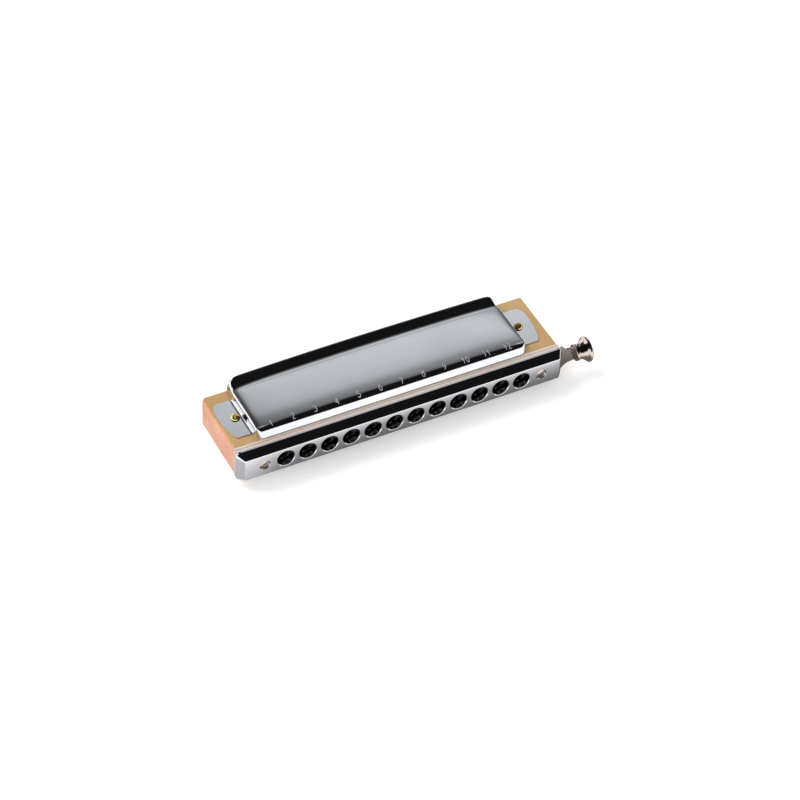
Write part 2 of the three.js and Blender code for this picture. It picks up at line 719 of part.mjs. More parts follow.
function coverRidgeProfile(inset) {
  const shape = new THREE.Shape();
  const low = coverLow(inset);
  const rear = coverBack(inset);
  const foot = PANEL_HEIGHT - inset;
  const crest = RIDGE_HEIGHT - inset;
  const start = RAMP_START + INSIDE_RAMP_SHIFT * inset;
  const end = start + RAMP_RUN;
  const front = start - OVERSHOOT;
  shape.moveTo(front, low);
  shape.lineTo(rear, low);
  shape.lineTo(rear, crest);
  shape.lineTo(end + CREST_EASE, crest);
  shape.quadraticCurveTo(end, crest, end - CREST_EASE, crest - CREST_EASE);
  shape.lineTo(start + 2 * RAMP_FOOT_RISE, foot + RAMP_FOOT_RISE);
  shape.quadraticCurveTo(start + RAMP_FOOT_RISE, foot, start - RAMP_FOOT_FLAT, foot);
  shape.lineTo(front, foot);
  shape.closePath();
  return shape;
}

function coverEndProfile(inset, top, radius) {
  const shape = new THREE.Shape();
  const low = coverLow(inset);
  const foot = COVER_HALF_LENGTH - inset;
  const high = foot - COVER_DRAFT;
  const r = radius - inset;
  const crest = top - inset;
  shape.moveTo(-foot, low);
  shape.lineTo(foot, low);
  shape.lineTo(high, crest - r);
  shape.absarc(high - r, crest - r, r, 0, Math.PI / 2, false);
  shape.lineTo(-high + r, crest);
  shape.absarc(-high + r, crest - r, r, Math.PI / 2, Math.PI, false);
  shape.closePath();
  return shape;
}

function coverPlan(inset) {
  const shape = new THREE.Shape();
  const across = COVER_HALF_LENGTH - inset;
  const front = COVER_FRONT + inset;
  const rear = coverBack(inset);
  const r = PLAN_CORNER_RADIUS - inset;
  shape.moveTo(across, rear);
  shape.lineTo(-across, rear);
  shape.lineTo(-across, front + r);
  shape.absarc(-across + r, front + r, r, Math.PI, 1.5 * Math.PI, false);
  shape.lineTo(across - r, front);
  shape.absarc(across - r, front + r, r, 1.5 * Math.PI, 2 * Math.PI, false);
  shape.closePath();
  return shape;
}

function coverForm(inset) {
  const across = COVER_HALF_LENGTH + OVERSHOOT;
  const back = coverBack(COVER_SHEET) + OVERSHOOT;
  const panel = solid(extrudedAlong(coverPanelProfile(inset), -across, across))
    .intersect(solid(extrudedBack(
      coverEndProfile(inset, PANEL_HEIGHT, PANEL_END_RADIUS), 0, back,
    )));
  const ridge = solid(extrudedAlong(coverRidgeProfile(inset), -across, across))
    .intersect(solid(extrudedBack(
      coverEndProfile(inset, RIDGE_HEIGHT, RIDGE_END_RADIUS), 0, back,
    )));
  const plan = solid(extrudedUp(coverPlan(inset), 0, RIDGE_HEIGHT + OVERSHOOT));
  return panel.add(ridge).intersect(plan);
}

// A tab's outline, from the end wall out to its bowed edge. side is -1 at the left end.
function tabShape(side) {
  const shape = new THREE.Shape();
  const wall = COVER_HALF_LENGTH - COVER_SHEET;
  const corner = TAB_HALF_LENGTH - TAB_BULGE;
  const bulgeY = (TAB_FRONT + TAB_REAR) / 2 + TAB_BULGE_SHIFT;
  const bulgeX = TAB_HALF_LENGTH + TAB_FRONT_LEAN;
  const frontX = corner + TAB_FRONT_LEAN;
  const rearX = corner + TAB_REAR_LEAN;
  shape.moveTo(side * wall, TAB_FRONT);
  shape.lineTo(side * (corner - TAB_CORNER), TAB_FRONT);
  shape.quadraticCurveTo(side * corner, TAB_FRONT, side * frontX, TAB_FRONT + TAB_CORNER);
  shape.quadraticCurveTo(side * bulgeX, bulgeY, side * rearX, TAB_REAR - TAB_CORNER);
  shape.quadraticCurveTo(side * corner, TAB_REAR, side * (corner - TAB_CORNER), TAB_REAR);
  shape.lineTo(side * wall, TAB_REAR);
  shape.closePath();
  return shape;
}

function makeCover() {
  const shell = coverForm(0).subtract(coverForm(COVER_SHEET));
  const hole = COVER_SCREW_SHANK_RADIUS + SHANK_CLEARANCE;
  const through = [plateTop - OVERSHOOT, plateTop + COVER_SHEET + OVERSHOOT];
  const tabs = [-1, 1].map((side) => {
    const tab = solid(extrudedUp(tabShape(side), plateTop, plateTop + COVER_SHEET));
    return tab.subtract(rodAlongZ(side * TAB_SCREW_X, COVER_SCREW_Y, hole, ...through));
  });
  const geometry = geometryOf(joined([shell, ...tabs]));
  geometry.translate(COVER_CENTRE_X, 0, 0);
  return geometry;
}

// The assembly. Upper and lower pieces are the same form, mirrored in the plane of the holes.

const layers = [['upper', 1], ['lower', -1]];
const ends = [['left', 0], ['right', 1]];

addPart('comb', makeComb(), wood);

for (const [layer, up] of layers) {
  addPart(`${layer}_reed_plate`, makeReedPlate(), brass).scale.z = up;
}

for (const [layer, up] of layers) {
  for (let index = 0; index < HOLES; index += 1) {
    addPart(`${layer}_valve_${index + 1}`, makeValve(index), valveFilm).scale.z = up;
  }
}

for (const [layer, up] of layers) {
  PLATE_SCREW_PLACES.forEach(([x, y], index) => {
    const length = plateTop - PLATE_SCREW_TIP;
    const screw = makeScrew(
      PLATE_SCREW_SHANK_RADIUS, length, PLATE_SCREW_HEAD, PLATE_SCREW_STEPS,
    );
    screw.translate(x, y, PLATE_SCREW_TIP);
    addPart(`${layer}_reed_plate_screw_${index + 1}`, screw, screwBrass).scale.z = up;
  });
}

for (const [layer, up] of layers) {
  addPart(`${layer}_cover`, makeCover(), chrome).scale.z = up;
  for (const [end, index] of ends) {
    const length = plateTop + COVER_SHEET - COVER_SCREW_TIP;
    const screw = makeScrew(
      COVER_SCREW_SHANK_RADIUS, length, COVER_SCREW_HEAD, RECESS_STEPS,
    );
    screw.translate(tabScrewPlaces[index], COVER_SCREW_Y, COVER_SCREW_TIP);
    addPart(`${layer}_cover_screw_${end}`, screw, screwBrass).scale.z = up;
  }
}

addPart('slide_back_plate', makeBackPlate(), slideMetal);
addPart('slide_channel', makeSlideChannel(), slideMetal);
addPart('slide', makeSlide(), slideMetal);
addPart('slide_button', makeButton(), slideMetal);
addPart('slide_spring', makeSpring(), springSteel);
addPart('mouthpiece', makeMouthpiece(), chrome);

for (const [end, index] of ends) {
  const x = index === 0 ? -SCREW_X : SCREW_X;
  addPart(`slide_bumper_sleeve_${end}`, makeSleeve(x), rubber);
  const headSeat = MOUTH_SCREW_HEAD_FRONT + MOUTH_SCREW_HEAD.height;
  const screw = makeScrew(
    SCREW_SHANK_RADIUS, MOUTH_SCREW_END - headSeat, MOUTH_SCREW_HEAD, SMALL_STEPS,
  );
  screw.rotateX(Math.PI / 2);
  screw.translate(x, MOUTH_SCREW_END, 0);
  addPart(`mouthpiece_screw_${end}`, screw, slideMetal);
}

export default model;
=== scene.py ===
# Chromatic harmonica: fine meshes, finishes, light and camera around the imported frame.
# Lengths are written in millimetres and turned into metres where a mesh is made. The origin is
# the centre of the mouthpiece's front face, +X runs to the button, +Y back from the player.

from math import ceil, cos, pi, radians, sin, tan

import bmesh
import bpy
from mathutils import Matrix, Vector
from mathutils.bvhtree import BVHTree


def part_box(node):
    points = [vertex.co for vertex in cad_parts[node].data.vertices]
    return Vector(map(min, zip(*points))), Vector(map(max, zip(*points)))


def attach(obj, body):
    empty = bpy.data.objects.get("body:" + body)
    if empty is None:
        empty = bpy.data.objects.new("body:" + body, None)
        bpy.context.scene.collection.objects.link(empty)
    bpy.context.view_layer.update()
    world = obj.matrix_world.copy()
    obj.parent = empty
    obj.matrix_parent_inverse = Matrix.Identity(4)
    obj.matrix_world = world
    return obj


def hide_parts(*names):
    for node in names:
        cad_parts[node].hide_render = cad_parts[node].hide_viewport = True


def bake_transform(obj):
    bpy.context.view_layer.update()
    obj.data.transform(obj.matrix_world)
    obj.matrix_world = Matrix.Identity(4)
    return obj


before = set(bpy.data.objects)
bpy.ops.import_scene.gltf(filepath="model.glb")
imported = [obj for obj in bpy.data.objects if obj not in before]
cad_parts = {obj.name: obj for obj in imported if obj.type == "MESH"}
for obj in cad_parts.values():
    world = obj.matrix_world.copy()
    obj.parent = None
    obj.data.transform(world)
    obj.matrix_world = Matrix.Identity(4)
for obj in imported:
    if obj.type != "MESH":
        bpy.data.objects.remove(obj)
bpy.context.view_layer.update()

MM = 0.001
X, Y, Z = 0, 1, 2
HOLES = 12
PITCH = 8.8
LAYERS = (("upper", 1), ("lower", -1))
HOLE_X = [(index - (HOLES - 1) / 2) * PITCH for index in range(HOLES)]
BODY = "body"
SLIDE = "slide"


# Places read from the frame, in millimetres

def box_mm(node):
    """Lowest and highest corner of a CAD node at rest, in millimetres."""
    low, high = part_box(node)
    return low / MM, high / MM


_, mouth_high = box_mm("mouthpiece")
channel_low, channel_high = box_mm("slide_channel")
back_low, back_high = box_mm("slide_back_plate")
slide_low, slide_high = box_mm("slide")
comb_low, comb_high = box_mm("comb")
cover_low, cover_high = box_mm("upper_cover")
button_low, button_high = box_mm("slide_button")

COMB_FRONT = back_high.y
COMB_TOP = comb_high.z
PLATE_THICKNESS = 1.05
PLATE_TOP = COMB_TOP + PLATE_THICKNESS
REAR_CORNER_RADIUS = 0.9
SLIDE_TRAVEL = PITCH / 2
MOUTH_SCREW_X = (-56.8, 56.8)

# How far a cutter runs past the surface that it cuts
PAST = 1


# Mesh helpers

def given(thing, **settings):
    """The thing, after it has got these settings."""
    for key, value in settings.items():
        setattr(thing, key, value)
    return thing


def new_object(name, data):
    made = bpy.data.objects.new(name, data)
    bpy.context.scene.collection.objects.link(made)
    return made


def new_piece(name, points, faces):
    """A mesh object from points in millimetres."""
    mesh = bpy.data.meshes.new(name)
    mesh.from_pydata([[c * MM for c in point] for point in points], [], faces)
    mesh.update()
    return new_object(name, mesh)


def tidy_normals(piece):
    """Loose points go, points in one place become one, and a closed mesh's faces point out."""
    work = bmesh.new()
    work.from_mesh(piece.data)
    loose = [v for v in work.verts if not v.link_faces]
    bmesh.ops.delete(work, geom=loose, context="VERTS")
    bmesh.ops.remove_doubles(work, verts=work.verts, dist=1e-3 * MM)
    bmesh.ops.recalc_face_normals(work, faces=work.faces)
    work.to_mesh(piece.data)
    work.free()
    return piece


def rounded(piece):
    piece.data.polygons.foreach_set("use_smooth", [True] * len(piece.data.polygons))


def smooth(piece, angle):
    rounded(piece)
    piece.data.set_sharp_from_angle(angle=radians(angle))
    return piece


def evaluated(shape):
    """The mesh that an object's modifiers make, or a curve's bevel."""
    graph = bpy.context.evaluated_depsgraph_get()
    return bpy.data.meshes.new_from_object(shape.evaluated_get(graph))


def applied(piece):
    """The piece with its modifiers worked into its mesh."""
    mesh = evaluated(piece)
    piece.modifiers.clear()
    piece.data = mesh
    return piece


def joined(name, pieces):
    """One mesh object that holds the meshes of several, which are removed."""
    work = bmesh.new()
    for piece in pieces:
        mesh = piece.data.copy()
        mesh.transform(piece.matrix_world)
        work.from_mesh(mesh)
        bpy.data.meshes.remove(mesh)
        bpy.data.objects.remove(piece)
    mesh = bpy.data.meshes.new(name)
    work.to_mesh(mesh)
    work.free()
    return new_object(name, mesh)


def cut(piece, cutters):
    """Takes the closed cutters, which don't overlap one another, out of the piece."""
    tool = joined("cutter", cutters)
    modifier = piece.modifiers.new("cut", "BOOLEAN")
    given(modifier, operation="DIFFERENCE", solver="EXACT", object=tool)
    applied(piece)
    bpy.data.objects.remove(tool)


def bevelled(piece, width):
    given(
        piece.modifiers.new("edges", "BEVEL"), width=width * MM, segments=2, limit_method="ANGLE",
        angle_limit=radians(30), harden_normals=True, use_clamp_overlap=True,
    )
    rounded(piece)


def flat_faces_kept(piece, angle):
    smooth(piece, angle)
    given(piece.modifiers.new("normals", "WEIGHTED_NORMAL"), keep_sharp=True, weight=100)


def mirrored(piece, up):
    """The lower layer's pieces mirror the upper ones in the plane of the holes."""
    if up < 0:
        piece.data.transform(Matrix.Diagonal((1, 1, -1, 1)))
        piece.data.flip_normals()
    return piece


def painted(piece, material):
    piece.data.materials.clear()
    piece.data.materials.append(material)


def dressed(piece, material, node=None, body=BODY):
    painted(piece, material)
    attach(piece, body)
    if node:
        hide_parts(node)


def block(name, low, high):
    (x0, y0, z0), (x1, y1, z1) = low, high
    points = [(x, y, z) for x in (x0, x1) for y in (y0, y1) for z in (z0, z1)]
    faces = [(0, 1, 3, 2), (4, 6, 7, 5), (0, 4, 5, 1), (2, 3, 7, 6), (0, 2, 6, 4), (1, 5, 7, 3)]
    return new_piece(name, points, faces)


def slab(x, half, low, high):
    """A block about x with this half-width, between two corners given as y and z."""
    return block("cutter", (x - half, *low), (x + half, *high))


def ring_faces(count, rings):
    """Faces between neighbouring closed rings that have count points each."""
    faces = []
    for first in range(0, count * (rings - 1), count):
        for i in range(count):
            after = (i + 1) % count
            faces.append((first + i, first + count + i, first + count + after, first + after))
    return faces


def loft(name, rings):
    """A closed skin over rings with equal numbers of points. An end ring may be one point."""
    count = len(rings[0])
    points = [point for ring in rings for point in ring]
    caps = [tuple(range(count)), tuple(range(len(points) - 1, len(points) - count - 1, -1))]
    return tidy_normals(new_piece(name, points, caps + ring_faces(count, len(rings))))


def placed(outline, axis, level):
    """Points of an outline in the other two axes, in their order, at one level of an axis."""
    return [[*point[:axis], level, *point[axis:]] for point in outline]


def prism(name, outline, low, high, axis):
    """A closed outline carried along one axis."""
    return loft(name, [placed(outline, axis, level) for level in (low, high)])


def turned(name, profile, steps, axis, centre):
    """A solid of revolution: (radius, place) pairs that start and end on the axis."""
    rings = []
    for radius, level in profile:
        ring = placed(arc(0, 0, radius, 0, 360, steps)[:-1], axis, level)
        rings.append([[a + b for a, b in zip(point, centre)] for point in ring])
    return loft(name, rings)


def wire(name, kind, lines, radius, bevel_steps):
    """Round bars along lines of points in millimetres. The kind NURBS rounds them off."""
    curve = given(
        bpy.data.curves.new(name, "CURVE"), dimensions="3D", bevel_depth=radius * MM,
        bevel_resolution=bevel_steps, use_fill_caps=True, resolution_u=6,
    )
    for line in lines:
        spline = curve.splines.new(kind)
        spline.points.add(len(line) - 1)
        for spot, point in zip(spline.points, line):
            spot.co = (*(c * MM for c in point), 1)
        given(spline, use_endpoint_u=True, order_u=3)
    holder = new_object(name, curve)
    mesh = evaluated(holder)
    bpy.data.objects.remove(holder)
    return smooth(new_object(name, mesh), 60)


def arc(cx, cy, radius, start, stop, steps):
    """Points of an arc, in degrees, with both of its ends."""
    angles = [radians(start + (stop - start) * step / steps) for step in range(steps + 1)]
    return [(cx + radius * cos(angle), cy + radius * sin(angle)) for angle in angles]


def filleted(corners, radii, steps):
    """An open line through corners, with an arc of the given radius at each inner one."""
    line = [corners[0]]
    for before, corner, following, radius in zip(corners, corners[1:], corners[2:], radii):
        here = Vector(corner)
        back = (Vector(before) - here).normalized()
        ahead = (Vector(following) - here).normalized()
        half = back.angle(ahead) / 2
        reach = radius / tan(half)
        centre = here + (back + ahead).normalized() * (radius / sin(half))
        first = here + back * reach - centre
        turn = first.angle_signed(here + ahead * reach - centre)
        for step in range(steps + 1):
            angle = -turn * step / steps
            c, s = cos(angle), sin(angle)
            line.append((centre.x + first.x * c - first.y * s, centre.y + first.x * s + first.y * c))
    line.append(corners[-1])
    return line


# Materials

EVEN = (1, 1, 1)


class Nodes:
    """A new material's or world's node tree, with short ways to add nodes."""

    def __init__(self, owner):
        owner.use_nodes = True
        self.owner = owner
        self.tree = owner.node_tree

    def put(self, node, sockets):
        """Fills input sockets, by name or number, with values or with other nodes' outputs."""
        for key, value in sockets.items():
            if isinstance(value, bpy.types.NodeSocket):
                self.tree.links.new(value, node.inputs[key])
            else:
                node.inputs[key].default_value = value

    def add(self, kind, sockets, **settings):
        node = given(self.tree.nodes.new(kind), **settings)
        self.put(node, sockets)
        return node

    def principled(self, sockets):
        self.put(self.tree.nodes["Principled BSDF"], sockets)
        return self.owner

    def surface(self, kind, output, sockets):
        """Shows another shader in place of the material's first one."""
        shown = self.add(kind, sockets).outputs[output]
        self.put(self.tree.nodes["Material Output"], {"Surface": shown})
        return self.owner

    def coordinates(self):
        return self.add("ShaderNodeTexCoord", {}).outputs["Object"]

    def split(self, vector):
        return self.add("ShaderNodeSeparateXYZ", {"Vector": vector}).outputs

    def noise(self, stretch, scale, detail=6):
        """Noise in the object's own coordinates, drawn out along an axis."""
        mapping = self.add("ShaderNodeMapping", {"Vector": self.coordinates(), "Scale": stretch})
        sockets = {"Vector": mapping.outputs["Vector"], "Scale": scale, "Detail": detail}
        return self.add("ShaderNodeTexNoise", sockets).outputs["Fac"]

    def ramp(self, source, stops):
        node = self.add("ShaderNodeValToRGB", {"Fac": source})
        elements = node.color_ramp.elements
        while len(elements) < len(stops):
            elements.new(0.5)
        for element, (place, colour) in zip(elements, stops):
            element.position = place
            element.color = colour
        return node.outputs["Color"]

    def maths(self, operation, *sources):
        sockets = dict(enumerate(sources))
        return self.add("ShaderNodeMath", sockets, operation=operation).outputs["Value"]

    def share(self, source, low, high):
        """Where a length lies between two in millimetres, from 0 to 1."""
        sockets = {"Value": source, "From Min": low * MM, "From Max": high * MM}
        return self.add("ShaderNodeMapRange", sockets).outputs["Result"]

    def mixed(self, factor, first, second, blend="MIX"):
        sockets = {"Factor": factor, "A": first, "B": second}
        node = self.add("ShaderNodeMix", sockets, data_type="RGBA", blend_type=blend)
        return node.outputs["Result"]

    def bump(self, *heights):
        """A normal from heights with their distances in millimetres, one on top of another."""
        below = {}
        for source, distance in heights:
            sockets = {"Height": source, "Strength": 1.0, "Distance": distance * MM, **below}
            below = {"Normal": self.add("ShaderNodeBump", sockets).outputs["Normal"]}
        return below["Normal"]

    def seen_by(self, *rays):
        """1 where one of these rays sees the surface, and 0 elsewhere."""
        path = self.add("ShaderNodeLightPath", {}).outputs
        seen = path[rays[0]]
        for ray in rays[1:]:
            seen = self.maths("MAXIMUM", seen, path[ray])
        return seen


def shader(name):
    return Nodes(bpy.data.materials.new(name))


def grey(value):
    return (value, value, value, 1)


def linear(colour):
    """A colour given as it looks on screen, 0 to 255, as scene values."""
    shares = [value / 255 for value in colour]
    return (*(s / 12.92 if s <= 0.04045 else ((s + 0.055) / 1.055) ** 2.4 for s in shares), 1)


# The plates behind the mouthpiece carry painted shade up to the first of these distances from the
# middle of the row of bores, along and up, and keep their colour from the second one on
PAINTED_SHADE_ALONG = (62, 63)
PAINTED_SHADE_UP = (4.3, 4.8)


def dark_behind_holes(nodes, colour, dark):
    """The colour, with painted shade where the plates stand behind the mouthpiece's bores, and
    how much of a polished coat there is, with none behind the bores."""
    place = nodes.split(nodes.coordinates())
    shares = [
        nodes.share(nodes.maths("ABSOLUTE", place[axis]), *reach)
        for axis, reach in (("X", PAINTED_SHADE_ALONG), ("Z", PAINTED_SHADE_UP))
    ]
    open_to_light = nodes.maths("MAXIMUM", *shares)
    return nodes.mixed(open_to_light, dark, colour), open_to_light


def metal(name, colour, worn, rough, wave, brush=EVEN, brush_scale=1200, wave_scale=70,
          metallic=1, dark=None, coated=False):
    """Polished or brushed metal: colour, a duller worn colour, low and high roughness, the
    height of its slow waviness in millimetres, and the stretch and scale of its brushing. A dark
    colour, where given, is painted shade on the plates behind the mouthpiece's bores, and a
    coated metal has its polished coat only outside that shade."""
    nodes = shader(name)
    brushing = nodes.noise(brush, brush_scale)
    shown = nodes.ramp(nodes.noise(EVEN, 45, 3), [(0.35, linear(colour)), (0.75, linear(worn))])
    # A dark colour is painted shade on the plates behind the bores, where the coat is taken away too
    if dark is not None:
        shown, coat = dark_behind_holes(nodes, shown, linear(dark))
        if coated:
            nodes.principled({"Coat Weight": coat, "Coat Roughness": 0.06, "Coat IOR": 1.8})
    low, high = rough
    return nodes.principled({
        "Metallic": metallic,
        "Base Color": shown,
        "Roughness": nodes.ramp(brushing, [(0.35, grey(low)), (0.7, grey(high))]),
        "Normal": nodes.bump((nodes.noise(EVEN, wave_scale, 1), wave), (brushing, 0.0006)),
    })


def wood_material():
    """Sealed pearwood: pink, with a fine grain along the comb and faint pores."""
    nodes = shader("pearwood")
    grain = nodes.noise((0.12, 1, 1), 900, 8)
    bands = nodes.noise((0.1, 1, 1), 130, 3)
    pores = nodes.noise((0.2, 1, 1), 2600, 2)
    tone = nodes.ramp(bands, [(0.3, linear((228, 164, 137))), (0.7, linear((240, 184, 157)))])
    dark = nodes.ramp(grain, [(0.3, linear((226, 206, 196))), (0.6, grey(1))])
    return nodes.principled({
        "Base Color": nodes.mixed(0.7, tone, dark, "MULTIPLY"),
        "Roughness": 0.5,
        "Coat Weight": 0.12,
        "Coat Roughness": 0.3,
        "Normal": nodes.bump((grain, 0.012), (pores, 0.008)),
    })


def film_material():
    """Valve film: milky, with faint streaks, letting some light through."""
    nodes = shader("valve_film")
    streaks = nodes.noise((3, 0.4, 1), 500, 4)
    stops = [(0.3, linear((222, 216, 200))), (0.7, linear((240, 237, 228)))]
    return nodes.principled({
        "Base Color": nodes.ramp(streaks, stops),
        "Roughness": 0.42,
        "Subsurface Weight": 0.15,
        "Subsurface Radius": (0.0006, 0.0006, 0.0005),
        "Normal": nodes.bump((streaks, 0.01)),
    })


def rubber_material():
    nodes = shader("sleeve_rubber")
    specks = nodes.noise(EVEN, 1500, 4)
    return nodes.principled({
        "Base Color": nodes.ramp(specks, [(0.3, grey(0.02)), (0.7, grey(0.035))]),
        "Roughness": 0.8,
        "Normal": nodes.bump((specks, 0.01)),
    })


chrome = metal(
    "cover_chrome", (231, 233, 236), (224, 226, 230), rough=(0.04, 0.09), wave=0.004,
    brush_scale=900,
)
mouth_chrome = metal(
    "mouthpiece_chrome", (232, 231, 236), (225, 225, 231), rough=(0.05, 0.1), wave=0.0012,
    brush=(0.2, 1, 1), brush_scale=900,
)
# The dark colour here is painted shade on the channel and back plate behind the mouthpiece's bores
nickel = metal(
    "nickel_plate", (248, 232, 220), (238, 218, 202), rough=(0.3, 0.45), wave=0.002,
    brush=(0.08, 1, 1), brush_scale=1400, metallic=0.3, dark=(26, 19, 14), coated=True,
)
# The dark colour here is painted shade on the slide behind the mouthpiece's bores
slide_nickel = metal(
    "slide_nickel", (216, 202, 194), (200, 186, 176), rough=(0.08, 0.18), wave=0.002,
    brush=(0.1, 1, 1), brush_scale=1400, dark=(70, 60, 50),
)
brass = metal(
    "reed_brass", (233, 193, 138), (222, 178, 122), rough=(0.28, 0.44), wave=0.004,
    brush=(0.05, 1, 1), brush_scale=1500, metallic=0.5,
)
number_satin = metal(
    "number_satin", (204, 206, 208), (196, 198, 200), rough=(0.3, 0.4), wave=0.001,
    brush_scale=900, wave_scale=300, metallic=0.5,
)
screw_brass = metal(
    "screw_brass", (240, 216, 136), (226, 198, 112), rough=(0.1, 0.18), wave=0.002,
    wave_scale=300, metallic=0.95,
)
screw_nickel = metal(
    "screw_nickel", (226, 212, 204), (210, 196, 188), rough=(0.14, 0.26), wave=0.002,
    wave_scale=300,
)
spring_steel = metal(
    "spring_steel", (190, 190, 192), (172, 172, 175), rough=(0.14, 0.26), wave=0.002,
    brush=(1, 0.1, 1),
)
pearwood = wood_material()
valve_film = film_material()
sleeve_rubber = rubber_material()


# The comb, with an upper and a lower cell behind each hole and a pocket for the spring

CELL_HALF_WIDTH = 3.5
COMB_WEB_HALF = 0.9
REED_SLOT_FRONT = 10.8
LONGEST_SLOT = 17
SHORTEST_SLOT = 9.5
CELL_BEHIND_SLOT = 3.2
POCKET = [(55.9, 5.5), (64.6, 5.5), (64.6, 21), (58.9, 21), (58.9, 12.5), (55.9, 7)]
POCKET_LOW = -4.1
POCKET_HIGH = -2.3


def slot_rear(index):
    return REED_SLOT_FRONT + LONGEST_SLOT + (SHORTEST_SLOT - LONGEST_SLOT) * index / (HOLES - 1)


def body_outline(left):
    """The comb or a plate from above, from its left end to their common right end."""
    r = REAR_CORNER_RADIUS
    rear = comb_high.y - r
    right = comb_high.x
    outline = [(left, COMB_FRONT), (right, COMB_FRONT)]
    outline += arc(right - r, rear, r, 0, 90, 6)
    outline += arc(left + r, rear, r, 90, 180, 6)
    return outline


def make_comb():
    outline = body_outline(comb_low.x)
    comb = prism("wooden_comb", outline, -COMB_TOP, COMB_TOP, Z)
    front, above = COMB_FRONT - PAST, COMB_TOP + PAST
    cells = [prism("pocket", POCKET, POCKET_LOW, POCKET_HIGH, Z)]
    for index, x in enumerate(HOLE_X):
        rear = slot_rear(index) + CELL_BEHIND_SLOT
        for low, high in ((COMB_WEB_HALF, above), (-above, -COMB_WEB_HALF)):
            cells.append(slab(x, CELL_HALF_WIDTH, (front, low), (rear, high)))
    cut(comb, cells)
    bevelled(comb, 0.12)
    dressed(comb, pearwood, "comb")


# The reed plates, their reeds and valves

REED_OFFSET = 1.65
REED_SLOT_HALF_WIDTH = 1.15
REED_HALF_WIDTH = 1.0
REED_TIP_GAP = 0.3
REED_TIP_LIFT = 0.2
PAD_HALF_LENGTH = 1.2
LYING_GAP = 0.02
RIVET = [(0, -0.1), (0.62, -0.1), (0.62, 0.5), (0.56, 0.62), (0.38, 0.72), (0.2, 0.76), (0, 0.77)]
VALVE_THICKNESS = 0.12
VALVE_LIFT = 0.18
VALVE_CUP = 0.03
INNER_VALVE_FRONT = 0.4
INNER_VALVE_REAR = 0.6


def make_reed_plate(layer, up):
    outline = body_outline(-comb_high.x)
    plate = prism(f"{layer}_brass_plate", outline, COMB_TOP + 0.001, PLATE_TOP, Z)
    low, high = COMB_TOP - PAST, PLATE_TOP + PAST
    front, half = REED_SLOT_FRONT, REED_SLOT_HALF_WIDTH
    cut(plate, [
        slab(x + offset, half, (front, low), (slot_rear(index), high))
        for index, x in enumerate(HOLE_X) for offset in (-REED_OFFSET, REED_OFFSET)
    ])
    mirrored(plate, up)
    bevelled(plate, 0.1)
    dressed(plate, brass, f"{layer}_reed_plate")


def reed_stations(length):
    """Distance from the rivet, half-width and thickness, from the pad's end to the tip."""
    pad = PAD_HALF_LENGTH
    wide = REED_HALF_WIDTH + 0.3
    root = pad + 0.5
    stations = [
        (-pad, REED_HALF_WIDTH + 0.2, 0.34), (-pad + 0.15, wide, 0.36), (pad - 0.2, wide, 0.36),
        (pad, REED_HALF_WIDTH, 0.3), (root, REED_HALF_WIDTH, 0.16),
    ]
    for share in (0.35, 0.5, 0.65, 0.8, 0.92, 1):
        thick = 0.14 - 0.04 * sin(pi * share)
        stations.append((root + (length - root) * share, REED_HALF_WIDTH - 0.12 * share, thick))
    return stations


def make_reed(x, rivet_y, tip_y, face, side):
    """One brass tongue with its pad and rivet. It stands a little off its slot at the tip."""
    ahead = 1 if tip_y > rivet_y else -1
    length = abs(tip_y - rivet_y)
    rings = []
    for along, half, thick in reed_stations(length):
        y = rivet_y + ahead * along
        lift = LYING_GAP + REED_TIP_LIFT * max(0, along / length) ** 2
        section = ((-half, 0), (half, 0), (half - 0.06, thick), (-half + 0.06, thick))
        rings.append([(x + dx, y, face + side * (lift + dz)) for dx, dz in section])
    rivet = [(radius, face + side * height) for radius, height in RIVET]
    return [loft("reed", rings), turned("rivet", rivet, 16, Z, (x, rivet_y, 0))]


def make_reeds(layer, up):
    outer, inner = [], []
    for index, x in enumerate(HOLE_X):
        front, rear = REED_SLOT_FRONT, slot_rear(index)
        pad, gap = PAD_HALF_LENGTH, REED_TIP_GAP
        outer += make_reed(x - REED_OFFSET, front - pad, rear - gap, PLATE_TOP, 1)
        inner += make_reed(x + REED_OFFSET, rear + pad, front + gap, COMB_TOP, -1)
    for name, pieces in ((f"{layer}_outer_reeds", outer), (f"{layer}_inner_reeds", inner)):
        reeds = smooth(mirrored(joined(name, pieces), up), 30)
        dressed(reeds, brass)


def make_valve(name, x, glued_y, tip_y, half, face, side):
    """A strip of film, glued down at one end and lifting off the plate at its cut tip."""
    rows = 12
    points, faces = [], []
    for row in range(rows + 1):
        share = row / rows
        width = half * (1 - 0.45 * max(0, share - 0.93) / 0.07)
        lift = LYING_GAP + VALVE_LIFT * share ** 3
        for dx in (-width, -width * 0.4, width * 0.4, width):
            cup = VALVE_CUP * share * (dx / half) ** 2
            points.append((x + dx, glued_y + (tip_y - glued_y) * share, face + side * (lift + cup)))
    for a in range(0, 4 * rows, 4):
        faces += [(a + i, a + i + 1, a + i + 5, a + i + 4) for i in range(3)]
    valve = new_piece(name, points, faces)
    if valve.data.polygons[0].normal.z * side < 0:
        valve.data.flip_normals()
    film = smooth(valve, 35).modifiers.new("film", "SOLIDIFY")
    given(film, thickness=VALVE_THICKNESS * MM, offset=1)
    return applied(valve)


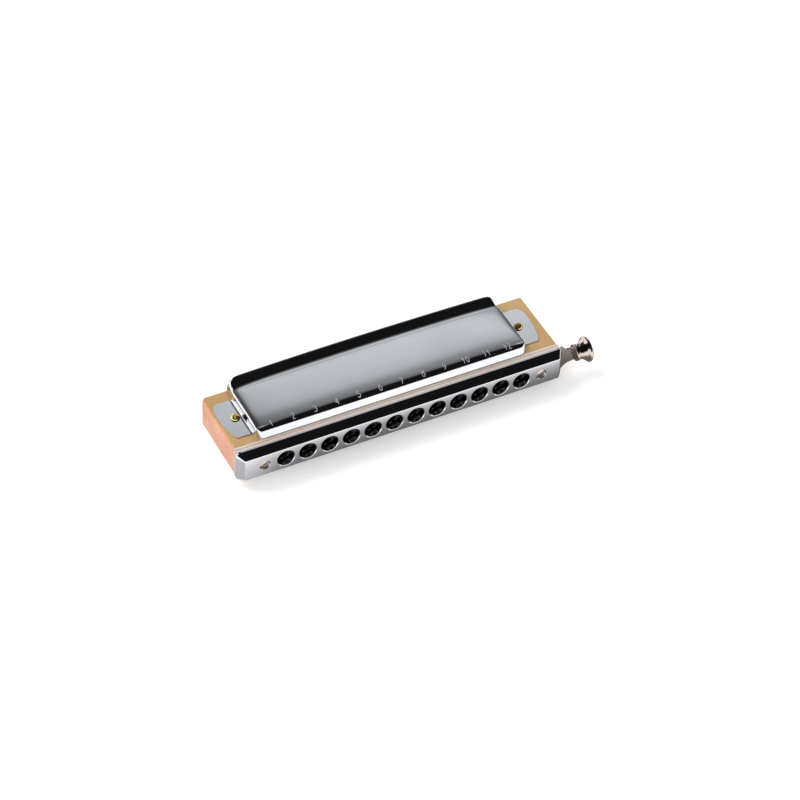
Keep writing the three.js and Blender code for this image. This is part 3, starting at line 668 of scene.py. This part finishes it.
def make_valves(layer, up):
    """The outer valve lies in its node's box, over the inner reed's slot, and the inner valve
    lies in the cell over the outer reed's slot, the other way round."""
    for number, hole_x in enumerate(HOLE_X, 1):
        node = f"{layer}_valve_{number}"
        low, high = box_mm(node)
        half, x = (high.x - low.x) / 2, (high.x + low.x) / 2
        name = f"{layer}_outer_valve_{number}"
        outer = make_valve(name, x, high.y, low.y, half, up * PLATE_TOP, up)
        dressed(outer, valve_film, node)
        name = f"{layer}_inner_valve_{number}"
        front, rear = low.y + INNER_VALVE_FRONT, high.y - INNER_VALVE_REAR
        inner = make_valve(name, 2 * hole_x - x, front, rear, half, up * COMB_TOP, -up)
        dressed(inner, valve_film)


# Screws: the head's radius, height and domed height, the shank's radius, the slot's width and
# depth, the steps round, and the material with its slot's name

PLATE_SCREW = (1.4, 0.6, 0.3, 0.8, 0.4, 0.35, 32, screw_brass, "screw_brass")
TAB_SCREW = (1.8, 1.5, 1.2, 1.0, 0.45, 0.5, 40, screw_brass, "screw_brass")
MOUTH_SCREW = (2.0, 1.3, 0.35, 1.2, 0.5, 0.6, 40, screw_nickel, "screw_nickel")
PLATE_SCREW_TURNS = (20, 70, -35, 5, 50)
TAB_SCREW_TURNS = {"left": 62, "right": -28}
MOUTH_SCREW_TURN = 35


def make_screw(name, node, kind, axis, outward, turn):
    """A slotted screw in its node's box. outward is the sign of the head's side on its axis."""
    radius, height, dome, shank, slot_width, slot_depth, steps, material, slot = kind
    low, high = box_mm(node)
    top, tip = (high[axis], low[axis]) if outward > 0 else (low[axis], high[axis])
    head = filleted(
        [(0, 0), (radius * 0.35, 0.04 * dome), (radius * 0.8, 0.35 * dome), (radius, dome),
         (radius, height), (shank, height)],
        [radius * 0.8, radius * 0.7, radius * 0.12, 0.05], 4,
    )
    profile = [(r, top - outward * depth) for r, depth in head]
    profile += [(shank, tip + outward * shank), (0, tip)]
    spot = (low + high) / 2
    spot[axis] = 0
    screw = turned(name, profile, steps, axis, spot)
    reach, half = radius + PAST, slot_width / 2
    c, s = cos(radians(turn)), sin(radians(turn))
    centre_u, centre_v = (spot[i] for i in (X, Y, Z) if i != axis)
    outline = [
        (centre_u + u * c - v * s, centre_v + u * s + v * c)
        for u, v in ((-reach, -half), (reach, -half), (reach, half), (-reach, half))
    ]
    ends = sorted((top - outward * slot_depth, top + outward * PAST))
    cut(screw, [prism("slot", outline, *ends, axis)])
    dressed(smooth(screw, 38), material, node)


def make_plate_screws(layer, up):
    for number, turn in enumerate(PLATE_SCREW_TURNS, 1):
        node = f"{layer}_reed_plate_screw_{number}"
        make_screw(f"{layer}_plate_screw_{number}", node, PLATE_SCREW, Z, up, turn)


def make_fasteners():
    for layer, up in LAYERS:
        for side, turn in TAB_SCREW_TURNS.items():
            node = f"{layer}_cover_screw_{side}"
            make_screw(f"{layer}_tab_screw_{side}", node, TAB_SCREW, Z, up, turn)
    for side in TAB_SCREW_TURNS:
        node = f"mouthpiece_screw_{side}"
        make_screw(f"{side}_mouthpiece_screw", node, MOUTH_SCREW, Y, -1, MOUTH_SCREW_TURN)
        painted(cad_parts[f"slide_bumper_sleeve_{side}"], sleeve_rubber)


# The covers: pressed sheet with a flat tab at each end and a rolled ridge along the back

COVER_SHEET = 0.5
WALL_TOP = 55.3
WALL_FOOT = 55.6
TAB_HEIGHT = PLATE_TOP + COVER_SHEET
TAB_SCREW_X = 58.3
TAB_SCREW_Y = 20
TAB_HOLE = 1.5
CREST_BOW = 0.75
BOW_START = 26
BOW_RUN = 5
RAMP_FOOT_Y = 31.5
RAMP_TOP_Y = 32.6
EDGE_CURL = 0.6
FRONT_CORNER_SHIFT = 0.15
CORNER_SHARE = 0.54
SUPPORT_SHARE = 1.7
INNER_INSETS = (9.5, 17, 26, 36, 46)

# The tabs' outline: places from the rear to the front, and half the length over both tabs
TAB_OUTLINE = (
    (29.25, 62.7), (26.6, 64.2), (23.5, 64.4), (21.3, 64.3), (20, 64.25), (18.7, 64.1),
    (15.6, 63.6), (12.6, 62.95), (10.35, 61.9),
)
# Stations from the rolled rear edge to the front: y, height and end radius. Where there is a
# tab, its half-length follows.
STATIONS = (
    (34.45, 12.55, 3.0), (34.98, 12.75, 3.4), (35.0, 13.25, 3.7), (34.7, 13.5, 3.8),
    (34.05, 13.42, 3.8), (33.55, 12.98, 3.6), (32.45, 11.85, 2.6), (31.95, 11.4, 2.1),
    (31.2, 11.2, 1.8), (29.6, 11.2, 1.7), *((y, 11.2, 1.7, half) for y, half in TAB_OUTLINE),
    (9.85, 11.2, 1.7), (8.8, 11.2, 1.7),
)
FRONT_WALL = ((8.25, 10.57), (7.33, 9.38), (6.64, 7.59), (6.26, PLATE_TOP))
END_WALL = ((8.7, 55.4), (7.6, 55.52))
TAB_BEND_X = 56.2
TAB_COLUMNS = (TAB_SCREW_X - TAB_HOLE, TAB_SCREW_X, TAB_SCREW_X + TAB_HOLE, 61.4)
HOLE_ROUNDING = (0.72, 0.82)


def sheet_drop(x, y):
    """How far the sheet falls away from flat, most at its ends and a little at the front."""
    along = abs(x) / WALL_TOP
    if y > RAMP_TOP_Y:
        return 0
    if y > RAMP_FOOT_Y:
        return 0.42 * along ** 5
    return 0.3 * along ** 5 + 0.35 * along ** 16 + 0.22 * ((y - 22) / 12) ** 4


def crest_bow(y):
    """How far the rear of the sheet bends forward at its ends."""
    return CREST_BOW * min(1, max(0, (y - BOW_START) / BOW_RUN))


def ridge_inset(y):
    """How much shorter the rolled ridge is at each end than the panel before it."""
    return 0.45 * min(1, max(0, (y - 30) / 2))


def cover_columns(y, radius):
    insets = (CORNER_SHARE * radius, SUPPORT_SHARE * radius, *INNER_INSETS)
    left = [-(WALL_TOP - ridge_inset(y) - inset) for inset in insets]
    return left + [0] + [-x for x in reversed(left)]


def cover_cage():
    """Control points and faces of the sheet's outer side."""
    points, faces = [], []

    def point(x, y, z):
        points.append((x, y, z))
        return len(points) - 1

    def end_skirt(station, sign):
        """Points down the end wall, from the panel to the plate or to the tab's bend."""
        y, z, radius = station[:3]
        inset = ridge_inset(y) + (EDGE_CURL if station == STATIONS[0] else 0)
        y -= crest_bow(y) + (FRONT_CORNER_SHIFT if station == STATIONS[-1] else 0)
        column = [point(sign * (WALL_TOP - inset), y, z - CORNER_SHARE * radius - 0.05)]
        column += [point(sign * (half - inset), y, height) for height, half in END_WALL]
        if len(station) == 4:
            return column + [point(sign * TAB_BEND_X, y, TAB_HEIGHT)]
        return column + [point(sign * (WALL_FOOT - inset), y, PLATE_TOP)]

    top = []
    for y, z, radius, *_ in STATIONS:
        top.append([
            point(x, y - crest_bow(y) * (x / WALL_TOP) ** 2, z - sheet_drop(x, y))
            for x in cover_columns(y, radius)
        ])
    for row, ahead in zip(top, top[1:]):
        for i in range(len(row) - 1):
            faces.append((row[i], ahead[i], ahead[i + 1], row[i + 1]))

    # The sheet's walls: down the left end, along the front and up the right end
    skirts = {sign: [end_skirt(station, sign) for station in STATIONS] for sign in (-1, 1)}
    ring = [(row[0], skirt) for row, skirt in zip(top, skirts[-1])]
    ring += [(i, [point(points[i][0], y, z) for y, z in FRONT_WALL]) for i in top[-1]]
    ring += [(row[-1], skirt) for row, skirt in reversed(list(zip(top, skirts[1])))]
    for (top_a, skirt_a), (top_b, skirt_b) in zip(ring, ring[1:]):
        if top_a == top_b:
            faces.append((top_a, skirt_a[0], skirt_b[0]))
        else:
            faces.append((top_a, skirt_a[0], skirt_b[0], top_b))
        for k in range(len(skirt_a) - 1):
            faces.append((skirt_a[k], skirt_a[k + 1], skirt_b[k + 1], skirt_b[k]))

    # The tabs, with a hole round each screw
    tab_rows = [j for j, station in enumerate(STATIONS) if len(station) == 4]
    screw_row = [j for j in tab_rows if STATIONS[j][0] == TAB_SCREW_Y][0]
    for sign in (-1, 1):
        grid = {}
        for j in tab_rows:
            y, edge = STATIONS[j][0], STATIONS[j][3]
            grid[j] = [skirts[sign][j][-1]]
            for column, x in enumerate((*TAB_COLUMNS, edge)):
                on_diagonal = abs(j - screw_row) == 1 and column in (0, 2)
                share_x, share_y = HOLE_ROUNDING if on_diagonal else (1, 1)
                place_x = TAB_SCREW_X + (x - TAB_SCREW_X) * share_x
                place_y = TAB_SCREW_Y + (y - TAB_SCREW_Y) * share_y
                grid[j].append(point(sign * place_x, place_y, TAB_HEIGHT))
        for j in tab_rows[:-1]:
            for k in range(len(TAB_COLUMNS) + 1):
                in_hole = j in (screw_row - 1, screw_row) and k in (1, 2)
                if not in_hole:
                    faces.append((grid[j][k], grid[j][k + 1], grid[j + 1][k + 1], grid[j + 1][k]))
    return points, faces


def make_cover(layer, up):
    points, faces = cover_cage()
    centre = (cover_low.x + cover_high.x) / 2
    cage = [(x + centre, y, z) for x, y, z in points]
    cover = tidy_normals(new_piece(f"{layer}_cover_plate", cage, faces))
    highest = max(cover.data.polygons, key=lambda face: face.center.z)
    if highest.normal.z < 0:
        cover.data.flip_normals()
    mirrored(cover, up)
    rounded(cover)
    given(cover.modifiers.new("fine", "SUBSURF"), levels=3, render_levels=3)
    sheet = cover.modifiers.new("sheet", "SOLIDIFY")
    given(sheet, thickness=COVER_SHEET * MM, offset=-1, use_even_offset=True)
    smooth(applied(cover), 50)
    dressed(cover, chrome, f"{layer}_cover")
    return cover


# The numbers over the holes, small raised beads on the upper cover's front edge

DIGIT_HEIGHT = 2.3
DIGIT_SCALE = 0.8 * DIGIT_HEIGHT
DIGIT_WIDTH = 0.6 * DIGIT_SCALE
DIGIT_GAP = 0.55
DIGIT_LOW_Y = 8.0
DIGIT_SHIFT = -1.9
BEAD_RADIUS = 0.14
BEAD_STEP = 0.12


def oval(cx, cy, rx, ry, start, stop, steps):
    return [(cx + rx * u, cy + ry * v) for u, v in arc(0, 0, 1, start, stop, steps)]


# The digits from 0 to 9 as lines in a box 0.6 wide and 1 high
DIGITS = (
    [oval(0.3, 0.5, 0.3, 0.5, 0, 360, 24)],
    [[(0.1, 0.76), (0.32, 1), (0.32, 0)]],
    [oval(0.3, 0.71, 0.28, 0.29, 165, -35, 12) + [(0.02, 0), (0.6, 0)]],
    [oval(0.28, 0.75, 0.26, 0.25, 150, -80, 12), oval(0.28, 0.25, 0.31, 0.25, 80, -150, 12)],
    [[(0.46, 0), (0.46, 1), (0, 0.3), (0.62, 0.3)]],
    [[(0.56, 1), (0.12, 1), (0.08, 0.58)] + oval(0.28, 0.32, 0.31, 0.32, 125, -145, 12)],
    [oval(0.62, 0.3, 0.6, 0.7, 110, 180, 8), oval(0.31, 0.3, 0.29, 0.3, 0, 360, 20)],
    [[(0, 1), (0.6, 1), (0.22, 0)]],
    [oval(0.3, 0.76, 0.24, 0.24, 0, 360, 18), oval(0.3, 0.26, 0.3, 0.26, 0, 360, 20)],
    [oval(0.31, 0.7, 0.29, 0.3, 0, 360, 20), oval(0, 0.7, 0.6, 0.7, 0, -70, 8)],
)


def dense(line):
    """The line with points added along it, for it to follow the cover's surface."""
    points = [Vector(line[0])]
    for a, b in zip(line, line[1:]):
        a, b = Vector(a), Vector(b)
        count = max(1, ceil((b - a).length / BEAD_STEP))
        points += [a.lerp(b, k / count) for k in range(1, count + 1)]
    return points


def make_numbers(cover):
    tree = BVHTree.FromObject(cover, bpy.context.evaluated_depsgraph_get())
    above, down = cover_high.z * 2, Vector((0, 0, -1))
    lines = []
    for number, x in enumerate(HOLE_X, 1):
        text = str(number)
        left = x + DIGIT_SHIFT - (DIGIT_WIDTH * len(text) + DIGIT_GAP * (len(text) - 1)) / 2
        for place, digit in enumerate(text):
            x0 = left + place * (DIGIT_WIDTH + DIGIT_GAP)
            for line in DIGITS[int(digit)]:
                flat = [(x0 + u * DIGIT_SCALE, DIGIT_LOW_Y + v * DIGIT_HEIGHT) for u, v in line]
                lines.append([
                    tree.ray_cast(Vector((*point, above)) * MM, down)[0] / MM
                    for point in dense(flat)
                ])
    numbers = wire("upper_cover_numbers", "POLY", lines, BEAD_RADIUS, 2)
    dressed(numbers, number_satin)


# The mouthpiece: wide mitred chamfers, twelve countersunk bores and two screw recesses

FACE_HALF_LENGTH = 64.6
FACE_HALF_HEIGHT = 4.9
FACE_CORNER_RADIUS = 0.7
REAR_CORNER = 2.2
CHAMFER_DEPTH = 3.15
FACE_EDGE_ROUND = 0.9
REAR_EDGE_ROUND = 0.35
HOLE_RADIUS = 3.35
HOLE_EDGE = 0.45
RECESS_RADIUS = 2.15
RECESS_DEPTH = 1.65
RECESS_EDGE = 0.06
SHANK_HOLE = 1.25


def rounded_ring(half_x, half_z, radius, y):
    ring = []
    for corner, (side, up) in enumerate(((1, 1), (-1, 1), (-1, -1), (1, -1))):
        cx, cz = side * (half_x - radius), up * (half_z - radius)
        ring += arc(cx, cz, radius, corner * 90, corner * 90 + 90, 10)
    return placed(ring, Y, y)


def hole_cutter(x, radius, edge, depth):
    profile = [
        (0, -PAST), (radius + edge + 1, -PAST), (radius + edge, 0),
        (radius + 0.35 * edge, 0.4 * edge), (radius, edge), (radius, depth), (0, depth),
    ]
    return turned("bore", profile, 64, Y, (x, 0, 0))


def make_mouthpiece():
    spread = mouth_high.x - FACE_HALF_LENGTH
    corners = [(-3, 0), (0, 0), (spread, CHAMFER_DEPTH), (spread, mouth_high.y)]
    rings = []
    for offset, y in filleted(corners, [FACE_EDGE_ROUND, REAR_EDGE_ROUND], 6)[1:]:
        share = offset / spread
        rings.append(rounded_ring(
            FACE_HALF_LENGTH + offset,
            FACE_HALF_HEIGHT + share * (mouth_high.z - FACE_HALF_HEIGHT),
            FACE_CORNER_RADIUS + max(-0.3, share) * (REAR_CORNER - FACE_CORNER_RADIUS),
            y,
        ))
    bar = loft("chrome_mouthpiece", rings)
    through = mouth_high.y + PAST
    bores = [hole_cutter(x, HOLE_RADIUS, HOLE_EDGE, through) for x in HOLE_X]
    bores += [hole_cutter(x, RECESS_RADIUS, RECESS_EDGE, RECESS_DEPTH) for x in MOUTH_SCREW_X]
    cut(bar, bores)
    shank = [(0, 1), (SHANK_HOLE, 1), (SHANK_HOLE, 5), (0, 5)]
    cut(bar, [turned("shank", shank, 32, Y, (x, 0, 0)) for x in MOUTH_SCREW_X])
    flat_faces_kept(bar, 32)
    dressed(bar, mouth_chrome, "mouthpiece")


# The slide assembly: folded channel, back plate, slide, button and spring

WINDOW_HALF_WIDTH = 1.8
WINDOW_LOW = 0.9
WINDOW_HIGH = 4.1
PUNCH_FRONT = mouth_high.y - PAST
PUNCH_BACK = COMB_FRONT + PAST
CHANNEL_WALL = 0.7
SEAM = (4.95, 5.25)
SEAM_DEPTH = 0.35
SLEEVE_SLOT = 1.7
NECK_HALF_HEIGHT = 3.1
NECK_START = 68.3
NECK_END = 72.8
NECK_CURVE = 0.3
TONGUE_HALF_HEIGHT = 1.8
SLIT_SLACK = 0.05
SPRING_TIP_X = 61
SPRING_Z = -3.2
BEND_LEFT = 0.9
FOOT_SPREAD = 0.9
SPRING_BEND_Y = 17.5
BEND_RADIUS = 1.5
WIRE_RADIUS = 0.35
WIRE_HOLE = 0.6
WIRE_SLOT = 0.75
WIRE_SLOT_END = 0.9


def windows(lower_shift):
    heights = ((0, WINDOW_LOW, WINDOW_HIGH), (lower_shift, -WINDOW_HIGH, -WINDOW_LOW))
    return [
        slab(x + shift, WINDOW_HALF_WIDTH, (PUNCH_FRONT, low), (PUNCH_BACK, high))
        for x in HOLE_X for shift, low, high in heights
    ]


def slot_cutter(x0, x1, z, radius):
    outline = arc(x1 - radius, z, radius, -90, 90, 10) + arc(x0 + radius, z, radius, 90, 270, 10)
    return prism("slot", outline, PUNCH_FRONT, PUNCH_BACK, Y)


def round_cutter(x, z, radius):
    return slot_cutter(x - radius, x + radius + 0.01, z, radius)


def plate_cutters():
    return windows(0) + [round_cutter(x, 0, SHANK_HOLE) for x in MOUTH_SCREW_X]


def make_channel():
    top = channel_high.z
    inner = top - CHANNEL_WALL
    front, back, tip = channel_low.y, channel_low.y + CHANNEL_WALL, channel_high.y
    upper = filleted([(tip, inner), (tip, top), (front, top), (front, 0)], [0.3, 0.4], 5)[1:-1]
    inside = filleted([(back, 0), (back, inner), (tip, inner)], [0.25], 3)[1:-1]
    half = upper + [(y, -z) for y, z in reversed(upper)]
    rest = [(tip, -inner)] + [(y, -z) for y, z in reversed(inside)] + inside + [(tip, inner)]
    channel = prism("folded_channel", half + rest, channel_low.x, channel_high.x, X)
    left, right = channel_low.x - PAST, channel_high.x + PAST
    deep, above = top - SEAM_DEPTH, top + PAST
    seams = [
        block("seam", (left, SEAM[0], low), (right, SEAM[1], high))
        for low, high in ((deep, above), (-above, -deep))
    ]
    cut(channel, plate_cutters() + seams)
    flat_faces_kept(channel, 30)
    dressed(channel, nickel, "slide_channel")


def make_back_plate():
    plate = block("channel_back_plate", back_low, back_high)
    left, right = SPRING_TIP_X - SLIDE_TRAVEL - WIRE_SLOT_END, SPRING_TIP_X + WIRE_SLOT_END
    cut(plate, plate_cutters() + [slot_cutter(left, right, SPRING_Z, WIRE_SLOT)])
    bevelled(plate, 0.08)
    dressed(plate, nickel, "slide_back_plate")


def slide_outline():
    half, neck, tongue = slide_high.z, NECK_HALF_HEIGHT, TONGUE_HALF_HEIGHT
    middle = NECK_START + NECK_CURVE * (NECK_END - NECK_START)
    upper = [(slide_low.x, half)]
    for step in range(13):
        t = step / 12
        start, bend, end = (1 - t) ** 2, 2 * t * (1 - t), t * t
        x = NECK_START * start + middle * bend + NECK_END * end
        upper.append((x, half * start + neck * (bend + end)))
    upper += [(button_low.x, neck), (button_low.x, tongue), (slide_high.x, tongue)]
    return upper + [(x, -z) for x, z in reversed(upper)]


def make_slide():
    slide = prism("slide_plate", slide_outline(), slide_low.y, slide_high.y, Y)
    cutters = windows(SLIDE_TRAVEL)
    for x in MOUTH_SCREW_X:
        left, right = x - SLEEVE_SLOT, x + SLEEVE_SLOT + SLIDE_TRAVEL
        cutters.append(slot_cutter(left, right, 0, SLEEVE_SLOT))
    cutters.append(round_cutter(SPRING_TIP_X, SPRING_Z, WIRE_HOLE))
    cut(slide, cutters)
    bevelled(slide, 0.08)
    dressed(slide, slide_nickel, "slide", SLIDE)


def make_button():
    """The knob: a beaded collar, a waist and a flared rim round a shallow dished end."""
    length = button_high.x - button_low.x
    rim = button_high.z
    corners = [
        (0, 0), (2.95, 0), (3.32, 0.25), (3.32, 0.95), (3.1, 1.5), (3.1, 2.6), (4.05, 4),
        (rim - 0.03, 4.9), (rim, 5.6), (rim - 0.6, length), (rim - 1.3, length),
        (rim - 1.7, length - 0.22), (0, length - 0.22),
    ]
    radii = [0.1, 0.3, 0.3, 0.35, 1.6, 3.5, 0.5, 0.4, 0.35, 0.2, 0.3]
    profile = [(radius, button_low.x + level) for radius, level in filleted(corners, radii, 5)]
    middle = (slide_low.y + slide_high.y) / 2
    button = turned("slide_knob", profile, 96, X, (0, middle, 0))
    half = TONGUE_HALF_HEIGHT + SLIT_SLACK
    slit = block(
        "slit", (button_low.x - PAST, slide_low.y - SLIT_SLACK, -half),
        (slide_high.x + SLIT_SLACK, slide_high.y + SLIT_SLACK, half),
    )
    cut(button, [slit])
    smooth(button, 40)
    dressed(button, slide_nickel, "slide_button", SLIDE)


def make_spring():
    """The hairpin of wire, with its tip in the slide's hole and its foot in the comb's pocket."""
    left = SPRING_TIP_X - BEND_LEFT
    centre = left + BEND_RADIUS
    right = centre + BEND_RADIUS
    line = [(SPRING_TIP_X, 4.85), (SPRING_TIP_X, 5.6), (SPRING_TIP_X - 0.1, 8), (left + 0.1, 14.5)]
    line += arc(centre, SPRING_BEND_Y, BEND_RADIUS, 180, 0, 10)
    line += [(right + 0.5, 12), (right + FOOT_SPREAD, 9)]
    spring = wire("hairpin_spring", "NURBS", [placed(line, Z, SPRING_Z)], WIRE_RADIUS, 4)
    painted(spring, spring_steel)
    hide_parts("slide_spring")
    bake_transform(spring)


make_comb()
for layer, up in LAYERS:
    make_reed_plate(layer, up)
    make_reeds(layer, up)
    make_valves(layer, up)
    make_plate_screws(layer, up)
    cover = make_cover(layer, up)
    if up > 0:
        make_numbers(cover)
make_mouthpiece()
make_channel()
make_back_plate()
make_slide()
make_button()
make_spring()
make_fasteners()


# Floor, studio and camera

# The lower cover rests on its front edge and on its ridge, so the floor leans in this frame.
REST_FRONT = (8.6, -11.2)
REST_REAR = (33.9, -13.55)
FLOOR_HALF = 4000
FLOOR_GLOW = 0.36
WORLD_LIGHT = 0.62
MIRRORED_WHITE = 1.25
# Painted shadow on the floor that only polished metal sees: how bright the floor stands in its
# reflections by its distance back, and the power to which that is raised by its place along
REFLECTED_SHADOW_DEPTH = (
    (-22, 1.0), (-16, 1.0), (-13.5, 0.86), (-11.5, 0.52), (-9.9, 0.33), (-6.3, 0.16),
    (-2, 0.09), (40, 0.1), (47, 0.001), (62, 0.001), (75, 1.0),
)
REFLECTED_SHADOW_POWER = (
    (-140, 0.0), (-66, 0.36), (-57, 0.43), (-45, 0.84), (-39, 0.94), (5, 1.0), (50, 0.96),
    (68, 0.89), (75, 0.78), (90, 0.52), (140, 0.0),
)


def tones(stops, tint=EVEN):
    """Stops of a ramp from pairs of place and brightness, with the first at 0 and last at 1."""
    first, last = stops[0][0], stops[-1][0]
    return [
        ((at - first) / (last - first), (*(tone * part for part in tint), 1)) for at, tone in stops
    ]


def floor_material():
    """Pale and plain. Polished metal sees a painted shadow on it in place of its lit colour,
    darkening towards the instrument's foot.
    """
    nodes = shader("pale_floor")
    seen = nodes.seen_by("Is Camera Ray", "Is Transmission Ray")
    nodes.principled({
        "Base Color": grey(0.8), "Roughness": 0.9, "Specular IOR Level": 0.1,
        "Emission Color": grey(1),
        "Emission Strength": nodes.maths("MULTIPLY", seen, FLOOR_GLOW),
    })
    # Painted shadow for polished metal: tones by the floor's distance back and place along
    place = nodes.split(nodes.coordinates())
    painted_shadow_tones = []
    for axis, stops in (("Y", REFLECTED_SHADOW_DEPTH), ("X", REFLECTED_SHADOW_POWER)):
        share = nodes.share(place[axis], stops[0][0], stops[-1][0])
        painted_shadow_tones.append(nodes.ramp(share, tones(stops)))
    raised = nodes.maths("POWER", *painted_shadow_tones)
    painted_floor_reflection = nodes.add("ShaderNodeEmission", {"Color": raised, "Strength": MIRRORED_WHITE})
    return nodes.surface("ShaderNodeMixShader", "Shader", {
        "Fac": nodes.seen_by("Is Glossy Ray"),
        1: nodes.tree.nodes["Principled BSDF"].outputs["BSDF"],
        2: painted_floor_reflection.outputs["Emission"],
    })


def make_floor():
    (y0, z0), (y1, z1) = REST_FRONT, REST_REAR
    slope = (z1 - z0) / (y1 - y0)
    low, high = -FLOOR_HALF, FLOOR_HALF
    corners = ((low, low), (high, low), (high, high), (low, high))
    points = [(x, y, z0 + (y - y0) * slope) for x, y in corners]
    floor = new_piece("floor", points, [(0, 1, 2, 3)])
    painted(floor, floor_material())


def world_light():
    """Light from all sides, and white where the camera, polished metal or glass sees it."""
    world = bpy.data.worlds.new("studio")
    bpy.context.scene.world = world
    nodes = Nodes(world)
    seen = nodes.seen_by("Is Camera Ray", "Is Glossy Ray", "Is Transmission Ray")
    sockets = {"Value": seen, "To Min": WORLD_LIGHT, "To Max": MIRRORED_WHITE}
    strength = nodes.add("ShaderNodeMapRange", sockets).outputs["Result"]
    nodes.put(nodes.tree.nodes["Background"], {"Color": grey(1), "Strength": strength})


def area_light(name, place, size, power):
    lamp = new_object(name, given(bpy.data.lights.new(name, "AREA"), size=size, energy=power))
    turn = (-Vector(place)).to_track_quat("-Z", "Y")
    given(lamp, location=place, rotation_mode="QUATERNION", rotation_quaternion=turn)
    lamp.visible_glossy = False


def mirrored_only(piece, nodes, colour):
    """Only polished metal sees the studio's cards, and they give no light and no shadow."""
    nodes.tree.nodes.remove(nodes.tree.nodes["Principled BSDF"])
    painted(piece, nodes.surface("ShaderNodeEmission", "Emission", {"Color": colour}))
    given(piece, visible_camera=False, visible_diffuse=False, visible_shadow=False)
    piece.visible_transmission = False


# The dark dome over the instrument: its lower edge's elevation by azimuth, from the front and
# positive to the right, in degrees
DOME_RADIUS = 1300
DOME_TONE = 0.008
DOME_EDGE = (
    (-180, 45), (-120, 45), (-100, 12), (-60, 12), (-45, 11), (-30, 10), (34, 10), (60, 11),
    (78, 12), (90, 3), (150, 3), (176, 20), (180, 45),
)


def dome_edge(azimuth):
    for (a, low), (b, high) in zip(DOME_EDGE, DOME_EDGE[1:]):
        if azimuth <= b:
            return low + (high - low) * (azimuth - a) / (b - a)


def make_dome():
    columns, rows = 90, 12
    points = []
    for row in range(rows + 1):
        for column in range(columns):
            azimuth = -180 + 360 * column / columns
            fall = (90 - dome_edge(azimuth)) * row / rows
            a, e = radians(azimuth), radians(90 - fall)
            way = (cos(e) * sin(a), -cos(e) * cos(a), sin(e))
            points.append([DOME_RADIUS * part for part in way])
    dome = new_piece("dark_dome", points, ring_faces(columns, rows + 1))
    mirrored_only(dome, shader("dark_dome"), grey(DOME_TONE))


# The softbox behind, a bent card: brightness over its arc, in degrees up from the front, and
# along it, in metres
SOFTBOX_RADIUS = 0.8
SOFTBOX_OVER = (
    (92, 0.0), (106, 0.055), (117, 0.175), (123.5, 0.28), (126, 0.325), (128, 0.43), (130.5, 0.71),
    (133.2, 0.89), (134.2, 1.0), (135.3, 0.95), (136.7, 0.62), (142, 0.6), (152, 0.8),
)
SOFTBOX_ALONG = (
    (-0.5, 0.1), (0.0, 0.12), (0.04, 0.16), (0.08, 0.29), (0.11, 0.46), (0.14, 0.6), (0.18, 0.66),
    (0.25, 0.7), (0.3, 0.77), (0.335, 0.69), (0.37, 0.74), (0.42, 0.7), (0.47, 0.6),
    (0.54, 0.37), (0.65, 0.25), (0.8, 0.15), (1.0, 0.1),
)
SOFTBOX_TINT = (0.98, 1, 1.03)


def make_softbox():
    steps = 24
    bottom, top = SOFTBOX_OVER[0][0], SOFTBOX_OVER[-1][0]
    ends = (SOFTBOX_ALONG[0][0], SOFTBOX_ALONG[-1][0])
    ring = arc(0, 0, SOFTBOX_RADIUS, 180 - bottom, 180 - top, steps)
    points = [(x / MM, y / MM, z / MM) for y, z in ring for x in ends]
    faces = [(2 * i, 2 * i + 1, 2 * i + 3, 2 * i + 2) for i in range(steps)]
    card = new_piece("softbox", points, faces)
    layer = card.data.uv_layers.new(name="place")
    for loop in card.data.loops:
        row, end = divmod(loop.vertex_index, 2)
        layer.data[loop.index].uv = (end, row / steps)
    nodes = shader("softbox")
    place = nodes.split(nodes.add("ShaderNodeUVMap", {}, uv_map="place").outputs["UV"])
    over = nodes.ramp(place["Y"], tones(SOFTBOX_OVER))
    along = nodes.ramp(place["X"], tones(SOFTBOX_ALONG, SOFTBOX_TINT))
    mirrored_only(card, nodes, nodes.mixed(1, over, along, "MULTIPLY"))


# The photograph's view, as fitted to the twelve holes and the plate's corners. The turns are
# azimuth, elevation and roll, in degrees.
CAMERA_TURNS = (-28.792, 44.344, 2.965)
CAMERA_DISTANCE = 1162.068
CAMERA_SHIFT = (2.069, -6.965)
FOCAL_PIXELS = 3166.483
SENSOR_WIDTH = 36
IMAGE_WIDTH = 800


def make_camera():
    a, e, roll = (radians(turn) for turn in CAMERA_TURNS)
    back = Vector((sin(a) * cos(e), -cos(a) * cos(e), sin(e)))
    level = Vector((cos(a), sin(a), 0))
    upright = back.cross(level)
    right = level * cos(roll) + upright * sin(roll)
    up = -level * sin(roll) + upright * cos(roll)
    place = CAMERA_DISTANCE * back - CAMERA_SHIFT[0] * right - CAMERA_SHIFT[1] * up
    lens = FOCAL_PIXELS / IMAGE_WIDTH * SENSOR_WIDTH
    data = bpy.data.cameras.new("camera")
    given(data, sensor_width=SENSOR_WIDTH, lens=lens, clip_start=0.05, clip_end=50)
    camera = new_object("camera", data)
    columns = Matrix((right, up, back)).transposed().to_4x4()
    columns.translation = place * MM
    camera.matrix_world = columns
    bpy.context.scene.camera = camera


make_floor()
world_light()
make_dome()
make_softbox()
area_light("key", (-0.7, 0.6, 1.3), 0.9, 14)
area_light("fill", (-0.9, -1.0, 0.9), 1.2, 8)
make_camera()
bpy.context.scene.view_settings.view_transform = "Standard"
